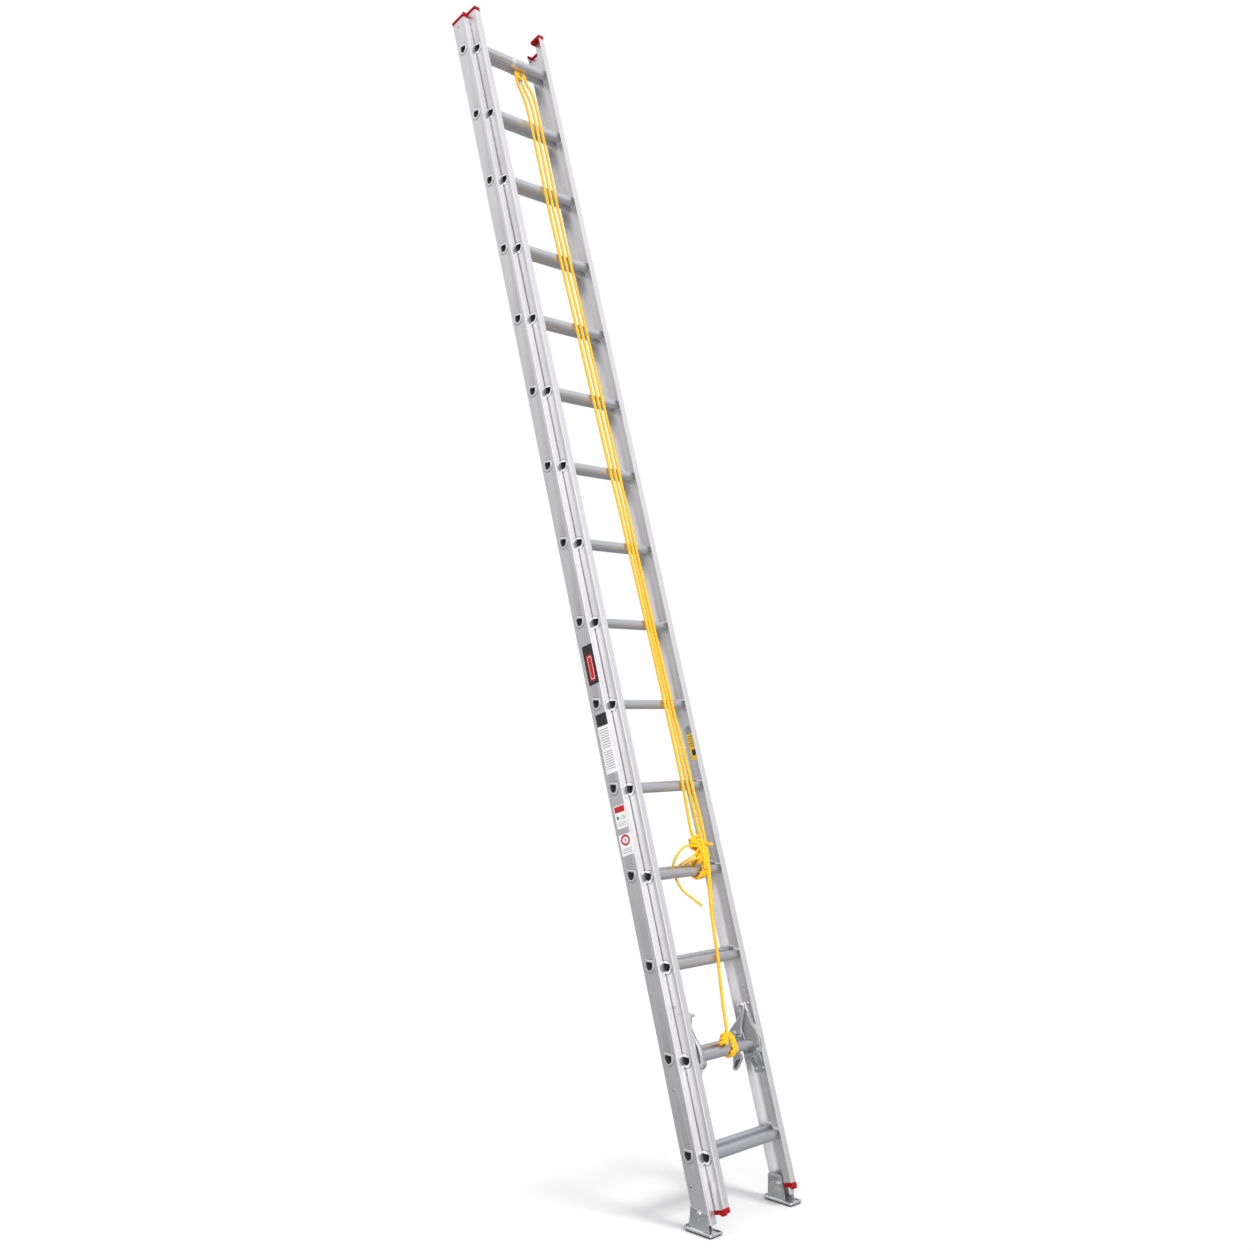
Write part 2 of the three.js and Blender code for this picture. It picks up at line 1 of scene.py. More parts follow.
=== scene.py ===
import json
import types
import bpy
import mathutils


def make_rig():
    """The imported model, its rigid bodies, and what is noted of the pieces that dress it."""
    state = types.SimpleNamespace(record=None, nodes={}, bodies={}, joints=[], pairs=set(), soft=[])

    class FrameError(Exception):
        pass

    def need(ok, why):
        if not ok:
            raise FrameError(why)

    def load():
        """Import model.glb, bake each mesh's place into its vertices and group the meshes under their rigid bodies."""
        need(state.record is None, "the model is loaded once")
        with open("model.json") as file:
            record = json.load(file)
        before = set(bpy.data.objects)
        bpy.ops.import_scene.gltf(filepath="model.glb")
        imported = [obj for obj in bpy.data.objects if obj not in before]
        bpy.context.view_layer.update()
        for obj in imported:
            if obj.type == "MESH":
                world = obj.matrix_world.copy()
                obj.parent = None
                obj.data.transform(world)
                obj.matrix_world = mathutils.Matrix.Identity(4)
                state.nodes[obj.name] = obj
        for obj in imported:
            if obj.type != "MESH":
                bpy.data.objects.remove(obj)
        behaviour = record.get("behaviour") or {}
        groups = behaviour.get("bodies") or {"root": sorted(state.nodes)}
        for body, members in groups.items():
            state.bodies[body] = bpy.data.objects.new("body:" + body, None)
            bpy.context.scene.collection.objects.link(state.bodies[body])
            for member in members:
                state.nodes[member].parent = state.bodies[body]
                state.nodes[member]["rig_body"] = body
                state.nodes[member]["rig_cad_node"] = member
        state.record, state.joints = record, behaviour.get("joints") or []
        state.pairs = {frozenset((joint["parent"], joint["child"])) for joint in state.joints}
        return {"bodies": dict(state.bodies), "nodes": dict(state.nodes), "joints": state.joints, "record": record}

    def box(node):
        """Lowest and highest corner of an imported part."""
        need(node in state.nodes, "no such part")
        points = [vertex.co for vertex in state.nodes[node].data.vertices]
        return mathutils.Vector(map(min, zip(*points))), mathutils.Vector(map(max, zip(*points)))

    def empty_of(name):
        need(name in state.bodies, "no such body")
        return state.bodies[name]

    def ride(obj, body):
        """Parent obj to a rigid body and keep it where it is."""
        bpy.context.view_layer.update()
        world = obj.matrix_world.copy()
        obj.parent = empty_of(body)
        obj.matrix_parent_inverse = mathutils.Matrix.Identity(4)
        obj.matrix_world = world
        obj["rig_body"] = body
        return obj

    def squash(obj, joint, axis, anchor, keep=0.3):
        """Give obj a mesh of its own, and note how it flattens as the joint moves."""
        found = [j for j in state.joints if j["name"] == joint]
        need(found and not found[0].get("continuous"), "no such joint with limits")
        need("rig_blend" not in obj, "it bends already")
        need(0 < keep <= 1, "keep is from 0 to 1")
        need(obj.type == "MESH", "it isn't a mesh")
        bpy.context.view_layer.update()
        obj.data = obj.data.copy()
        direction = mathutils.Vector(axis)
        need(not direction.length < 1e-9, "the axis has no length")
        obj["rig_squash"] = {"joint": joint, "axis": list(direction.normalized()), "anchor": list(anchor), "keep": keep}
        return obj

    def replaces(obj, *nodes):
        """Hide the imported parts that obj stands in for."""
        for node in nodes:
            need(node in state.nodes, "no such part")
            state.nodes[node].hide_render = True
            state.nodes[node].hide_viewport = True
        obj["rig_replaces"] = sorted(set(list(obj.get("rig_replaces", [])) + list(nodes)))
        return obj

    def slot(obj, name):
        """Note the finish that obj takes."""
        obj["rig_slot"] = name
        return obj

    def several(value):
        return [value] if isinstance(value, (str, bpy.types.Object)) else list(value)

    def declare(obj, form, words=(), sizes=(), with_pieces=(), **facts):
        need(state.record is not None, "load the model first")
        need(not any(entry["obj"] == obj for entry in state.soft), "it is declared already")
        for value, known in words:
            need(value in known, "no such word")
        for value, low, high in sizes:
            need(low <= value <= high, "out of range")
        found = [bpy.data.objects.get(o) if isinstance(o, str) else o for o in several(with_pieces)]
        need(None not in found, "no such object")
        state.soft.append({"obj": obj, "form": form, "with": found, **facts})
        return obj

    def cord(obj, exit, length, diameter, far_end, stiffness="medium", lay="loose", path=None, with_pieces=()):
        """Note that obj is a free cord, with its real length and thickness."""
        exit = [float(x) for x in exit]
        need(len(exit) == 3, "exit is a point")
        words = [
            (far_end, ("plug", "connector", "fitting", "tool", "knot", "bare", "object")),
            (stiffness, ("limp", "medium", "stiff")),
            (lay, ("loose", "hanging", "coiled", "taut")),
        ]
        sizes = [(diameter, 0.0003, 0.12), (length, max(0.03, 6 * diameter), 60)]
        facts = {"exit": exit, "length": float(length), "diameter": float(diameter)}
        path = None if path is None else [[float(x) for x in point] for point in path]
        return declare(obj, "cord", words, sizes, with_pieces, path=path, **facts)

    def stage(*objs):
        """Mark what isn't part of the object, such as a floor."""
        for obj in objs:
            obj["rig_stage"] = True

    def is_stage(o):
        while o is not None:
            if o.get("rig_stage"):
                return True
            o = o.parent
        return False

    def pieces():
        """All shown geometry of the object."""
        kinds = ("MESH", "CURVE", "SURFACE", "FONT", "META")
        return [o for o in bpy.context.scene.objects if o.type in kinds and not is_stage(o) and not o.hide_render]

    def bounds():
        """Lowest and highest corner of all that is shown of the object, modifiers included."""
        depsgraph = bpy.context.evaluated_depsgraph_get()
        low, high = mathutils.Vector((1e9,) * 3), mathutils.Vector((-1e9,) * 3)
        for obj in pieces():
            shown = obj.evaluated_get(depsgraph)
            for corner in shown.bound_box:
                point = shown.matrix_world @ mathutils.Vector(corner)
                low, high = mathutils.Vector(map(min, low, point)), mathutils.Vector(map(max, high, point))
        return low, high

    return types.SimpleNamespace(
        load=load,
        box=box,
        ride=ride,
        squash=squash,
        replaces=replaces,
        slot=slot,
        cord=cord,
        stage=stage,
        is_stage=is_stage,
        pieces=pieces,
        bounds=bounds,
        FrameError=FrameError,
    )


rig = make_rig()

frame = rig.load()

import json
import math

import bmesh
import bpy
from mathutils import Matrix, Vector
from mathutils.geometry import tessellate_polygon

CAD_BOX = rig.bounds()
MM = 0.001

# ---------------------------------------------------------------- sizes, in mm

PITCH = 304.8
RUNGS = 15
TREAD = 13.0  # from a rung's middle up to its tread
TREAD_HALF = 15.0
RUNG_RADIUS = 17.0
RUNG_BELOW = 18.0
RUNG_WALL = 2.0
RUNG_PROUD = 1.0

BASE_HALF = 214.5
BASE_FRONT, BASE_REAR = -38.5, 35.0
BASE_WEB, BASE_FLANGE, BASE_FLANGE_THICK = 2.6, 26.5, 3.2
BASE_LOW, BASE_HIGH = -218.0, 4400.0

FLY_HALF = 184.3
FLY_FRONT, FLY_REAR = -31.0, 22.0
FLY_WEB, FLY_FLANGE, FLY_FLANGE_THICK = 2.4, 26.3, 2.6
FLY_GUIDE = 20.7
FLY_LOW, FLY_HIGH = -162.0, 4433.0

CAP_HEIGHT = 14.0
GAP = 0.35
PULLEY = Vector((53.0, -25.8, 4222.0))
PULLEY_ROPE = 25.0
ROPE = 11.0
TAIL = 8.6
KNOTTED = 12.5  # where the turns of a knot press the rope wide
ROPE_FRONT = -74.5
ROPE_OUT = -85.0
BOLT_HEIGHT = 62.0
FOOT_X = 202.0
SIDES = {"left": 1, "right": -1}


def rung_centre(node):
    """The middle of a rung: its section is round in front and behind, and its tread is its highest face."""
    low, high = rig.box(node)
    return Vector(((low.x + high.x) / 2, (low.y + high.y) / 2, high.z - TREAD * MM))


def joint(name):
    return next(j for j in frame["joints"] if j["name"] == name)


UP = Vector(joint("fly_slide")["axis"])
LEAN = math.atan2(UP.y, UP.z)
TILT = Matrix.Rotation(-LEAN, 4, "X")
LADDER = Matrix.Translation(rung_centre("base_rung_01")) @ TILT
FLY = Matrix.Translation(rung_centre("fly_rung_01")) @ TILT
LOCK = Matrix.Translation(rung_centre("fly_rung_02")) @ TILT
FEET = Matrix.Translation((0, 0, BOLT_HEIGHT * MM))
MIRROR = Matrix.Scale(-1, 4, (1, 0, 0))


# ---------------------------------------------------------------- materials

BLACK, WHITE = (0.0, 0.0, 0.0), (1.0, 1.0, 1.0)


class Nodes:
    """A node tree, with short ways to add and join its nodes."""

    def __init__(self, tree, place):
        self.tree = tree
        self.place = self.add("TexCoord").outputs[place]

    def add(self, kind, **values):
        node = self.tree.nodes.new(f"ShaderNode{kind}")
        for socket, value in values.items():
            self.put(value, node.inputs[socket.replace("_", " ")])
        return node

    def put(self, value, socket):
        """Join an output to a socket, or set a plain value on it."""
        if isinstance(value, bpy.types.NodeSocket):
            self.tree.links.new(value, socket)
        else:
            socket.default_value = value

    def scaled(self, x, y, z):
        return self.add("Mapping", Scale=(x, y, z), Vector=self.place).outputs["Vector"]

    def noise(self, vector, scale, detail=3.0, rough=0.55):
        return self.add("TexNoise", Scale=scale, Detail=detail, Roughness=rough, Vector=vector).outputs["Fac"]

    def ramp(self, value, stops):
        node = self.add("ValToRGB", Fac=value)
        ramp = node.color_ramp
        while len(ramp.elements) < len(stops):
            ramp.elements.new(0.5)
        for element, (at, colour) in zip(ramp.elements, stops):
            element.position = at
            element.color = (*colour, 1)
        return node.outputs["Color"]

    def where(self, value, low, high):
        """Black up to low and white from high on."""
        return self.ramp(value, [(low, BLACK), (high, WHITE)])

    def mix(self, factor, first, second):
        node = self.add("Mix")
        node.data_type = "RGBA"
        for socket, value in (("Factor", factor), ("A", first), ("B", second)):
            target = next(s for s in node.inputs if s.name == socket and s.type != "VECTOR" and s.enabled)
            self.put((*value, 1) if isinstance(value, tuple) else value, target)
        return next(s for s in node.outputs if s.enabled)

    def spread(self, value, low, high, start=0.0, stop=1.0):
        """Low up to where the value is start, high from stop on, and even between them."""
        node = self.add("MapRange", Value=value)
        for socket, level in (("From Min", start), ("From Max", stop), ("To Min", low), ("To Max", high)):
            node.inputs[socket].default_value = level
        return node.outputs["Result"]

    def vector(self, operation, first, second, output):
        node = self.add("VectorMath")
        node.operation = operation
        self.put(first, node.inputs[0])
        self.put(second, node.inputs[1])
        return node.outputs[output]


class Shader(Nodes):
    """A material's nodes, on its own Principled BSDF."""

    def __init__(self, name, **values):
        self.material = bpy.data.materials.new(name)
        self.material.use_nodes = True
        super().__init__(self.material.node_tree, "Object")
        self.bsdf = self.tree.nodes["Principled BSDF"]
        for socket, value in values.items():
            self.bsdf.inputs[socket.replace("_", " ")].default_value = value

    def bump(self, height, strength, distance):
        node = self.add("Bump", Strength=strength, Distance=distance * MM)
        if self.bsdf.inputs["Normal"].links:
            self.put(self.bsdf.inputs["Normal"].links[0].from_socket, node.inputs["Normal"])
        self.put(height, node.inputs["Height"])
        self.put(node.outputs["Normal"], self.bsdf.inputs["Normal"])

    def tinted(self, body, where, most, colour):
        """The body's colour with another mixed in, up to the share most where the mask is 1."""
        return self.mix(self.spread(where, 0.0, most), body, colour)

    def surface(self, colour, roughness=None):
        self.put(colour, self.bsdf.inputs["Base Color"])
        if roughness:
            self.put(roughness, self.bsdf.inputs["Roughness"])


def edge_wear(shader):
    """1 on convex edges and 0 elsewhere, from the surface's own pointiness."""
    return shader.where(shader.add("NewGeometry").outputs["Pointiness"], 0.5, 0.56)


def aluminium(name, light, dark, roughness, along="z"):
    """Mill-finish extrusion: fine die lines along the length, soft clouds, rubbed marks and bright edges."""
    shader = Shader(name, Metallic=0.82)
    fine = (900, 900, 6) if along == "z" else (6, 900, 900)
    wide = (60, 60, 0.8) if along == "z" else (0.8, 60, 60)
    lines = shader.noise(shader.scaled(*fine), 1.0, 2.0)
    bands = shader.noise(shader.scaled(*wide), 1.0, 2.0)
    clouds = shader.noise(shader.place, 5.0, 5.0, 0.6)
    marks = shader.noise(shader.scaled(160, 160, 160), 1.0, 6.0, 0.75)
    body = shader.ramp(clouds, [(0.3, dark), (0.7, light)])
    body = shader.mix(0.5, body, shader.ramp(bands, [(0.36, dark), (0.64, light)]))
    body = shader.mix(0.18, body, shader.ramp(lines, [(0.35, dark), (0.65, (0.95, 0.95, 0.96))]))
    body = shader.tinted(body, shader.where(marks, 0.62, 0.72), 0.25, dark)
    body = shader.tinted(body, edge_wear(shader), 0.5, (0.9, 0.9, 0.91))
    shader.surface(body, shader.spread(clouds, *roughness))
    shader.bump(lines, 0.06, 0.05)
    shader.bump(bands, 0.1, 0.2)
    return shader.material


def plated(name, light, dark, rough, metallic=0.9, relief=0.1):
    """Zinc plate or a tumbled casting: mottled, a little grained, with bright rubbed edges."""
    shader = Shader(name, Metallic=metallic)
    spangle = shader.noise(shader.place, 90.0, 4.0, 0.6)
    grit = shader.noise(shader.place, 260.0, 3.0, 0.7)
    grime = shader.noise(shader.place, 22.0, 5.0, 0.65)
    body = shader.ramp(spangle, [(0.3, dark), (0.7, light)])
    body = shader.tinted(body, grime, 0.35, tuple(0.5 * c for c in dark))
    body = shader.tinted(body, edge_wear(shader), 0.6, tuple(min(1.0, 1.5 * c) for c in light))
    shader.surface(body, shader.spread(spangle, *rough))
    shader.bump(grit, relief, 0.1)
    return shader.material


def moulded(name, light, dark, rough, grain=700.0, pale=0.12, shine=0.5):
    """Moulded plastic or rubber: fine leathery grain, scuffs and slightly paler edges."""
    shader = Shader(name, Specular_IOR_Level=shine)
    grit = shader.noise(shader.place, grain, 3.0, 0.6)
    clouds = shader.noise(shader.place, 40.0, 4.0, 0.6)
    scuffs = shader.noise(shader.scaled(300, 40, 120), 1.0, 6.0, 0.8)
    body = shader.ramp(clouds, [(0.3, dark), (0.7, light)])
    pale = tuple(0.85 * c + pale for c in light)
    body = shader.tinted(body, shader.where(scuffs, 0.6, 0.75), 0.3, pale)
    body = shader.tinted(body, edge_wear(shader), 0.4, pale)
    shader.surface(body, shader.spread(clouds, *rough))
    shader.bump(grit, 0.2, 0.08)
    return shader.material


def braided(name):
    """Yellow polypropylene braid: painted paler on the strands' crowns as highlight, and amber in the grooves between
    them as shade.
    """
    shader = Shader(name, Roughness=0.6, Sheen_Weight=0.1, Sheen_Roughness=0.4)
    crown = shader.add("Attribute")
    crown.attribute_name = "crown"
    fibres = shader.noise(shader.scaled(2600, 2600, 2600), 1.0, 2.0)
    patches = shader.noise(shader.place, 14.0, 3.0)
    # by the strands' crown: groove is painted shade, flank between, and top is painted highlight
    groove, flank, top = (0.66, 0.24, 0.002), (0.9, 0.46, 0.003), (0.97, 0.56, 0.005)
    strands = shader.ramp(crown.outputs["Fac"], [(0.0, groove), (0.5, flank), (1.0, top)])
    strands = shader.tinted(strands, patches, 0.3, (0.88, 0.42, 0.004))
    shader.surface(shader.tinted(strands, fibres, 0.2, (0.98, 0.62, 0.02)))
    shader.bump(fibres, 0.35, 0.2)
    return shader.material


def printed(name, colour):
    """Ink on a vinyl label, a little faded and rubbed."""
    shader = Shader(name, Specular_IOR_Level=0.2)
    fade = shader.noise(shader.place, 60.0, 4.0, 0.7)
    rub = shader.where(shader.noise(shader.scaled(500, 500, 90), 1.0, 6.0, 0.8), 0.66, 0.74)
    ink = shader.tinted(colour, fade, 0.05, (0.7, 0.7, 0.7))
    ink = shader.tinted(ink, rub, 0.12, (0.75, 0.74, 0.73))
    shader.surface(ink, shader.spread(fade, 0.32, 0.5))
    shader.bump(fade, 0.05, 0.05)
    return shader.material


RAIL = aluminium("rail_aluminium", (0.72, 0.705, 0.715), (0.5, 0.485, 0.495), (0.24, 0.42))
FLY_RAIL = aluminium("fly_aluminium", (0.7, 0.685, 0.7), (0.56, 0.545, 0.56), (0.3, 0.44))
RUNG = aluminium("rung_aluminium", (0.36, 0.38, 0.435), (0.25, 0.265, 0.305), (0.28, 0.42), along="x")
# Near-white aluminium: a painted highlight on the swage rings, their beads and the top rung's clip.
HIGHLIGHT_ALUMINIUM = aluminium("aluminium_painted_highlight", (0.9, 0.9, 0.91), (0.7, 0.7, 0.72), (0.2, 0.34))
# Near black, painted where shade falls: inside the rung ends, round swage rings and rivet heads, along the sole's rim,
# inside the plate edge and in the tongue's slot.
PAINTED_SHADE = moulded("rung_inside", (0.03, 0.03, 0.032), (0.012, 0.012, 0.013), rough=(0.6, 0.8))
CAP = moulded(
    "cap_plastic", (0.36, 0.004, 0.009), (0.27, 0.002, 0.006), rough=(0.5, 0.7), pale=0.005, shine=0.12,
)
LOCK_METAL = plated(
    "lock_casting", (0.38, 0.39, 0.41), (0.3, 0.305, 0.32), metallic=0.6, rough=(0.32, 0.44), relief=0.05,
)
# A lighter copy of the lock casting: a painted highlight on the locks' rims and flanges.
RIM_HIGHLIGHT = plated(
    "lock_rim_painted_highlight", (0.74, 0.77, 0.8), (0.56, 0.58, 0.61), metallic=0.75, rough=(0.24, 0.36), relief=0.04,
)
STEEL = plated("galvanised_steel", (0.66, 0.665, 0.68), (0.47, 0.475, 0.49), rough=(0.24, 0.42))
BRIGHT = plated("bright_zinc", (0.85, 0.85, 0.87), (0.66, 0.66, 0.68), metallic=0.95, rough=(0.12, 0.24))
RUBBER = moulded("sole_rubber", (0.03, 0.03, 0.031), (0.014, 0.014, 0.014), rough=(0.7, 0.9))
SHEAVE = moulded("sheave_nylon", (0.9, 0.52, 0.02), (0.75, 0.4, 0.01), rough=(0.3, 0.45), grain=400.0)
ROPE_FIBRE = braided("rope_fibre")
INK_COLOURS = {
    "black": (0.014, 0.014, 0.015), "white": (0.8, 0.8, 0.79), "grey": (0.28, 0.28, 0.29),
    "red": (0.5, 0.006, 0.01), "yellow": (0.85, 0.55, 0.03), "green": (0.03, 0.32, 0.1),
}
INK = {name: printed(f"ink_{name}", colour) for name, colour in INK_COLOURS.items()}


# ---------------------------------------------------------------- outlines, in mm


def turned(points, angle):
    c, s = math.cos(angle), math.sin(angle)
    return [(a * c - b * s, a * s + b * c) for a, b in points]


def moved(points, a, b):
    return [(p + a, q + b) for p, q in points]


def circle(radius, a=0.0, b=0.0, count=32):
    angles = [math.tau * i / count for i in range(count)]
    return [(a + radius * math.cos(angle), b + radius * math.sin(angle)) for angle in angles]


def fillet(points, radii, steps=5):
    """A closed outline with its corners rounded, by one radius or by one for each corner."""
    if not isinstance(radii, (list, tuple)):
        radii = [radii] * len(points)
    done = []
    for i, (corner, radius) in enumerate(zip(points, radii)):
        here = Vector(corner)
        before, after = Vector(points[i - 1]) - here, Vector(points[(i + 1) % len(points)]) - here
        angle = before.angle(after)
        reach = min(radius / math.tan(angle / 2), 0.49 * before.length, 0.49 * after.length)
        if radius <= 0 or reach < 0.02:
            done.append(tuple(here))
            continue
        start, end = here + before.normalized() * reach, here + after.normalized() * reach
        for k in range(steps + 1):
            t = k / steps
            done.append(tuple(start * (1 - t) ** 2 + here * 2 * t * (1 - t) + end * t * t))
    return done


def outward(points):
    """Each point's outward direction, on a closed outline."""
    area = sum(a[0] * b[1] - b[0] * a[1] for a, b in zip(points, points[1:] + points[:1]))
    sign = 1 if area > 0 else -1
    found = []
    for i in range(len(points)):
        along = (Vector(points[(i + 1) % len(points)]) - Vector(points[i - 1])).normalized()
        found.append(Vector((along.y, -along.x)) * sign)
    return found


def grown(points, by):
    return [tuple(Vector(p) + n * by) for p, n in zip(points, outward(points))]


def rung_outline(grow=0.0, ribs=False):
    """The D section in (y, z): a tread that is level when the ladder leans, and a round underside."""
    half, top = TREAD_HALF + grow * 0.7, TREAD + grow
    points = [(half, top)]
    if ribs:
        count, depth = 7, 0.9
        for i in range(count):
            at = half - (i + 0.5) * 2 * half / count
            points += [(at + 0.9, top), (at + 0.5, top - depth), (at - 0.5, top - depth), (at - 0.9, top)]
    points.append((-half, top))
    steps = 20
    for i in range(steps + 1):
        angle = math.pi * (1 + i / steps)
        points.append(((RUNG_RADIUS + grow) * math.cos(angle), (RUNG_BELOW + grow) * math.sin(angle)))
    return turned(points, LEAN)


# ---------------------------------------------------------------- meshes

AXES = {
    "x": Matrix(((0, 0, 1), (1, 0, 0), (0, 1, 0))),  # outline in (y, z), drawn along x
    "y": Matrix(((1, 0, 0), (0, 0, 1), (0, 1, 0))),  # outline in (x, z), drawn along y
    "z": Matrix.Identity(3),  # outline in (x, y), drawn along z
}
SOFT_EDGE = math.radians(32)
WELD = 0.01 * MM


def turned_out(mesh, weld=False):
    """A smooth mesh with its faces turned out, after points that lie together are made one."""
    work = bmesh.new()
    work.from_mesh(mesh)
    if weld:
        bmesh.ops.remove_doubles(work, verts=work.verts, dist=WELD)
    bmesh.ops.recalc_face_normals(work, faces=work.faces)
    work.to_mesh(mesh)
    work.free()
    mesh.shade_smooth()
    return mesh


def finished(mesh):
    turned_out(mesh, weld=True).set_sharp_from_angle(angle=SOFT_EDGE)
    return mesh


def mesh_of(vertices, faces):
    mesh = bpy.data.meshes.new("solid")
    mesh.from_pydata([v * MM for v in vertices], [], faces)
    return mesh


def solid(vertices, faces, axis, centre=(0, 0, 0)):
    """A closed mesh from an outline's points, each with its place along the axis as the third number."""
    return finished(mesh_of([AXES[axis] @ Vector(v) + Vector(centre) for v in vertices], faces))


def prism(outlines, axis, low, high, bevel=0.0, rounds=2):
    """A solid from closed outlines, the outside first and then its holes, with its rims rounded by bevel."""
    levels = [(low, 0.0), (high, 0.0)]
    if bevel:
        turns = [math.pi / 2 * i / rounds for i in range(rounds + 1)]
        start = [(low + bevel * (1 - math.sin(t)), bevel * (1 - math.cos(t))) for t in reversed(turns)]
        levels = start + [(low + high - at, inset) for at, inset in reversed(start)]
    vertices, faces, first = [], [], []
    for number, points in enumerate(outlines):
        inward = 1 if number else -1
        first.append(len(vertices))
        for at, inset in levels:
            vertices += [(a, b, at) for a, b in (grown(points, inward * inset) if inset else points)]
        faces += sleeve(len(points), len(levels), first[-1])
    for level in (0, len(levels) - 1):
        rims = [[start + level * len(p) + i for i in range(len(p))] for start, p in zip(first, outlines)]
        flat = [[Vector((*vertices[i][:2], 0)) for i in rim] for rim in rims]
        index = [i for rim in rims for i in rim]
        faces += [tuple(index[i] for i in triangle) for triangle in tessellate_polygon(flat)]
    return solid(vertices, faces, axis)


def sleeve(count, rows, first=0, closed=False):
    """The faces between rows of count points each, and from the last row to the first if closed."""
    faces = []
    for k in range(rows if closed else rows - 1):
        here, up = first + k * count, first + (k + 1) % rows * count
        for i in range(count):
            j = (i + 1) % count
            faces.append((here + i, here + j, up + j, up + i))
    return faces


def band(outline, profile, axis, at=0.0):
    """A ring along a closed outline; the profile's points are (outward, along the axis), a closed loop."""
    sides = list(zip(outline, outward(outline)))
    vertices = [(p[0] + n.x * out, p[1] + n.y * out, at + along) for out, along in profile for p, n in sides]
    return solid(vertices, sleeve(len(outline), len(profile), closed=True), axis)


def lathe(profile, axis, centre=(0, 0, 0), count=32):
    """A turned solid: the profile's points are (radius, along the axis), axis to axis or in a loop."""
    vertices, rows = [], []
    for radius, along in profile:
        ring = [(0.0, 0.0)] if radius == 0 else circle(radius, count=count)
        rows.append(range(len(vertices), len(vertices) + len(ring)))
        vertices += [(a, b, along) for a, b in ring]
    faces = []
    pairs = list(zip(rows, rows[1:]))
    if profile[0][0] and profile[-1][0]:
        pairs.append((rows[-1], rows[0]))
    for one, two in pairs:
        for i in range(count):
            j = (i + 1) % count
            corners = [one[i % len(one)], one[j % len(one)], two[j % len(two)], two[i % len(two)]]
            faces.append(tuple(dict.fromkeys(corners)))
    return solid(vertices, [f for f in faces if len(f) > 2], axis, centre)


def rod(radius, low, high):
    """A plain round bar as a lathe profile."""
    return [(0, low), (radius, low), (radius, high), (0, high)]


def both_ways(half):
    """A profile from its first half, whose second half lies opposite along the axis."""
    return half + [(out, -along) for out, along in reversed(half)]


def dome(radius, height):
    """A rivet's head as a lathe profile, standing on its surface along +axis."""
    flange, sunk, steps = 0.4, 0.6, 5
    points = [(0, -sunk), (radius, -sunk), (radius, flange)]
    for i in range(1, steps):
        angle = math.pi / 2 * i / steps
        points.append((radius * 0.96 * math.cos(angle), flange + (height - flange) * math.sin(angle)))
    return points + [(0, height)]


def joined(meshes):
    """Several meshes as one; each keeps its material."""
    whole = bmesh.new()
    materials = []
    for mesh in meshes:
        lookup = []
        for material in mesh.materials:
            if material not in materials:
                materials.append(material)
            lookup.append(materials.index(material))
        before = len(whole.faces)
        whole.from_mesh(mesh)
        whole.faces.ensure_lookup_table()
        for face in whole.faces[before:]:
            face.material_index = lookup[face.material_index] if lookup else 0
    result = bpy.data.meshes.new("joined")
    whole.to_mesh(result)
    whole.free()
    for material in materials:
        result.materials.append(material)
    return result


def painted(mesh, material):
    mesh.materials.clear()
    mesh.materials.append(material)
    return mesh


def mirrored(mesh):
    copy = mesh.copy()
    copy.transform(MIRROR)
    copy.flip_normals()
    return copy


def add_object(name, data):
    made = bpy.data.objects.new(name, data)
    bpy.context.collection.objects.link(made)
    return made


def without(mesh, cutter):
    """One closed mesh cut by another."""
    body, tool = add_object("body", mesh), add_object("tool", cutter)
    cut = body.modifiers.new("cut", "BOOLEAN")
    cut.operation, cut.object, cut.solver = "DIFFERENCE", tool, "EXACT"
    result = bpy.data.meshes.new_from_object(body.evaluated_get(bpy.context.evaluated_depsgraph_get()))
    for o in (body, tool):
        bpy.data.objects.remove(o)
    return finished(result)


def piece(name, mesh, place, body, slot, replaces=()):
    """A finished mesh as a named piece that rides on a CAD body."""
    made = add_object(name, mesh)
    made.matrix_world = place
    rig.ride(made, body)
    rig.slot(made, slot)
    if replaces:
        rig.replaces(made, *replaces)
    return made


def both(name, left_mesh, place, body, slot, replaces=None):
    """A left-hand piece and its mirror image; body and replaces hold {side}."""
    for side, sign in SIDES.items():
        mesh = left_mesh if sign > 0 else mirrored(left_mesh)
        nodes = [replaces.format(side=side)] if replaces else []
        piece(f"{name}_{side}", mesh, place, body.format(side=side), slot, nodes)


# ---------------------------------------------------------------- camera, floor and light


CAMERA_PLACE = (-3.5964, -3.0626, 1.6812)  # metres
CAMERA_TURN, CAMERA_RISE = math.radians(44.9216), math.radians(3.3074)
SENSOR, LENS = 36.0, 39.918


def add_camera():
    """The camera stands to the left of the ladder's front, level across and tipped a little up."""
    data = bpy.data.cameras.new("camera")
    data.sensor_width, data.lens, data.clip_end = SENSOR, LENS, 200
    camera = add_object("camera", data)
    camera.rotation_euler = (math.pi / 2 + CAMERA_RISE, 0, -CAMERA_TURN)
    camera.location = CAMERA_PLACE
    bpy.context.scene.camera = camera


FLOOR_RADIUS = 60.0  # metres
FADE = (0.35, 0.8)  # metres from a foot between which the floor turns into the backdrop


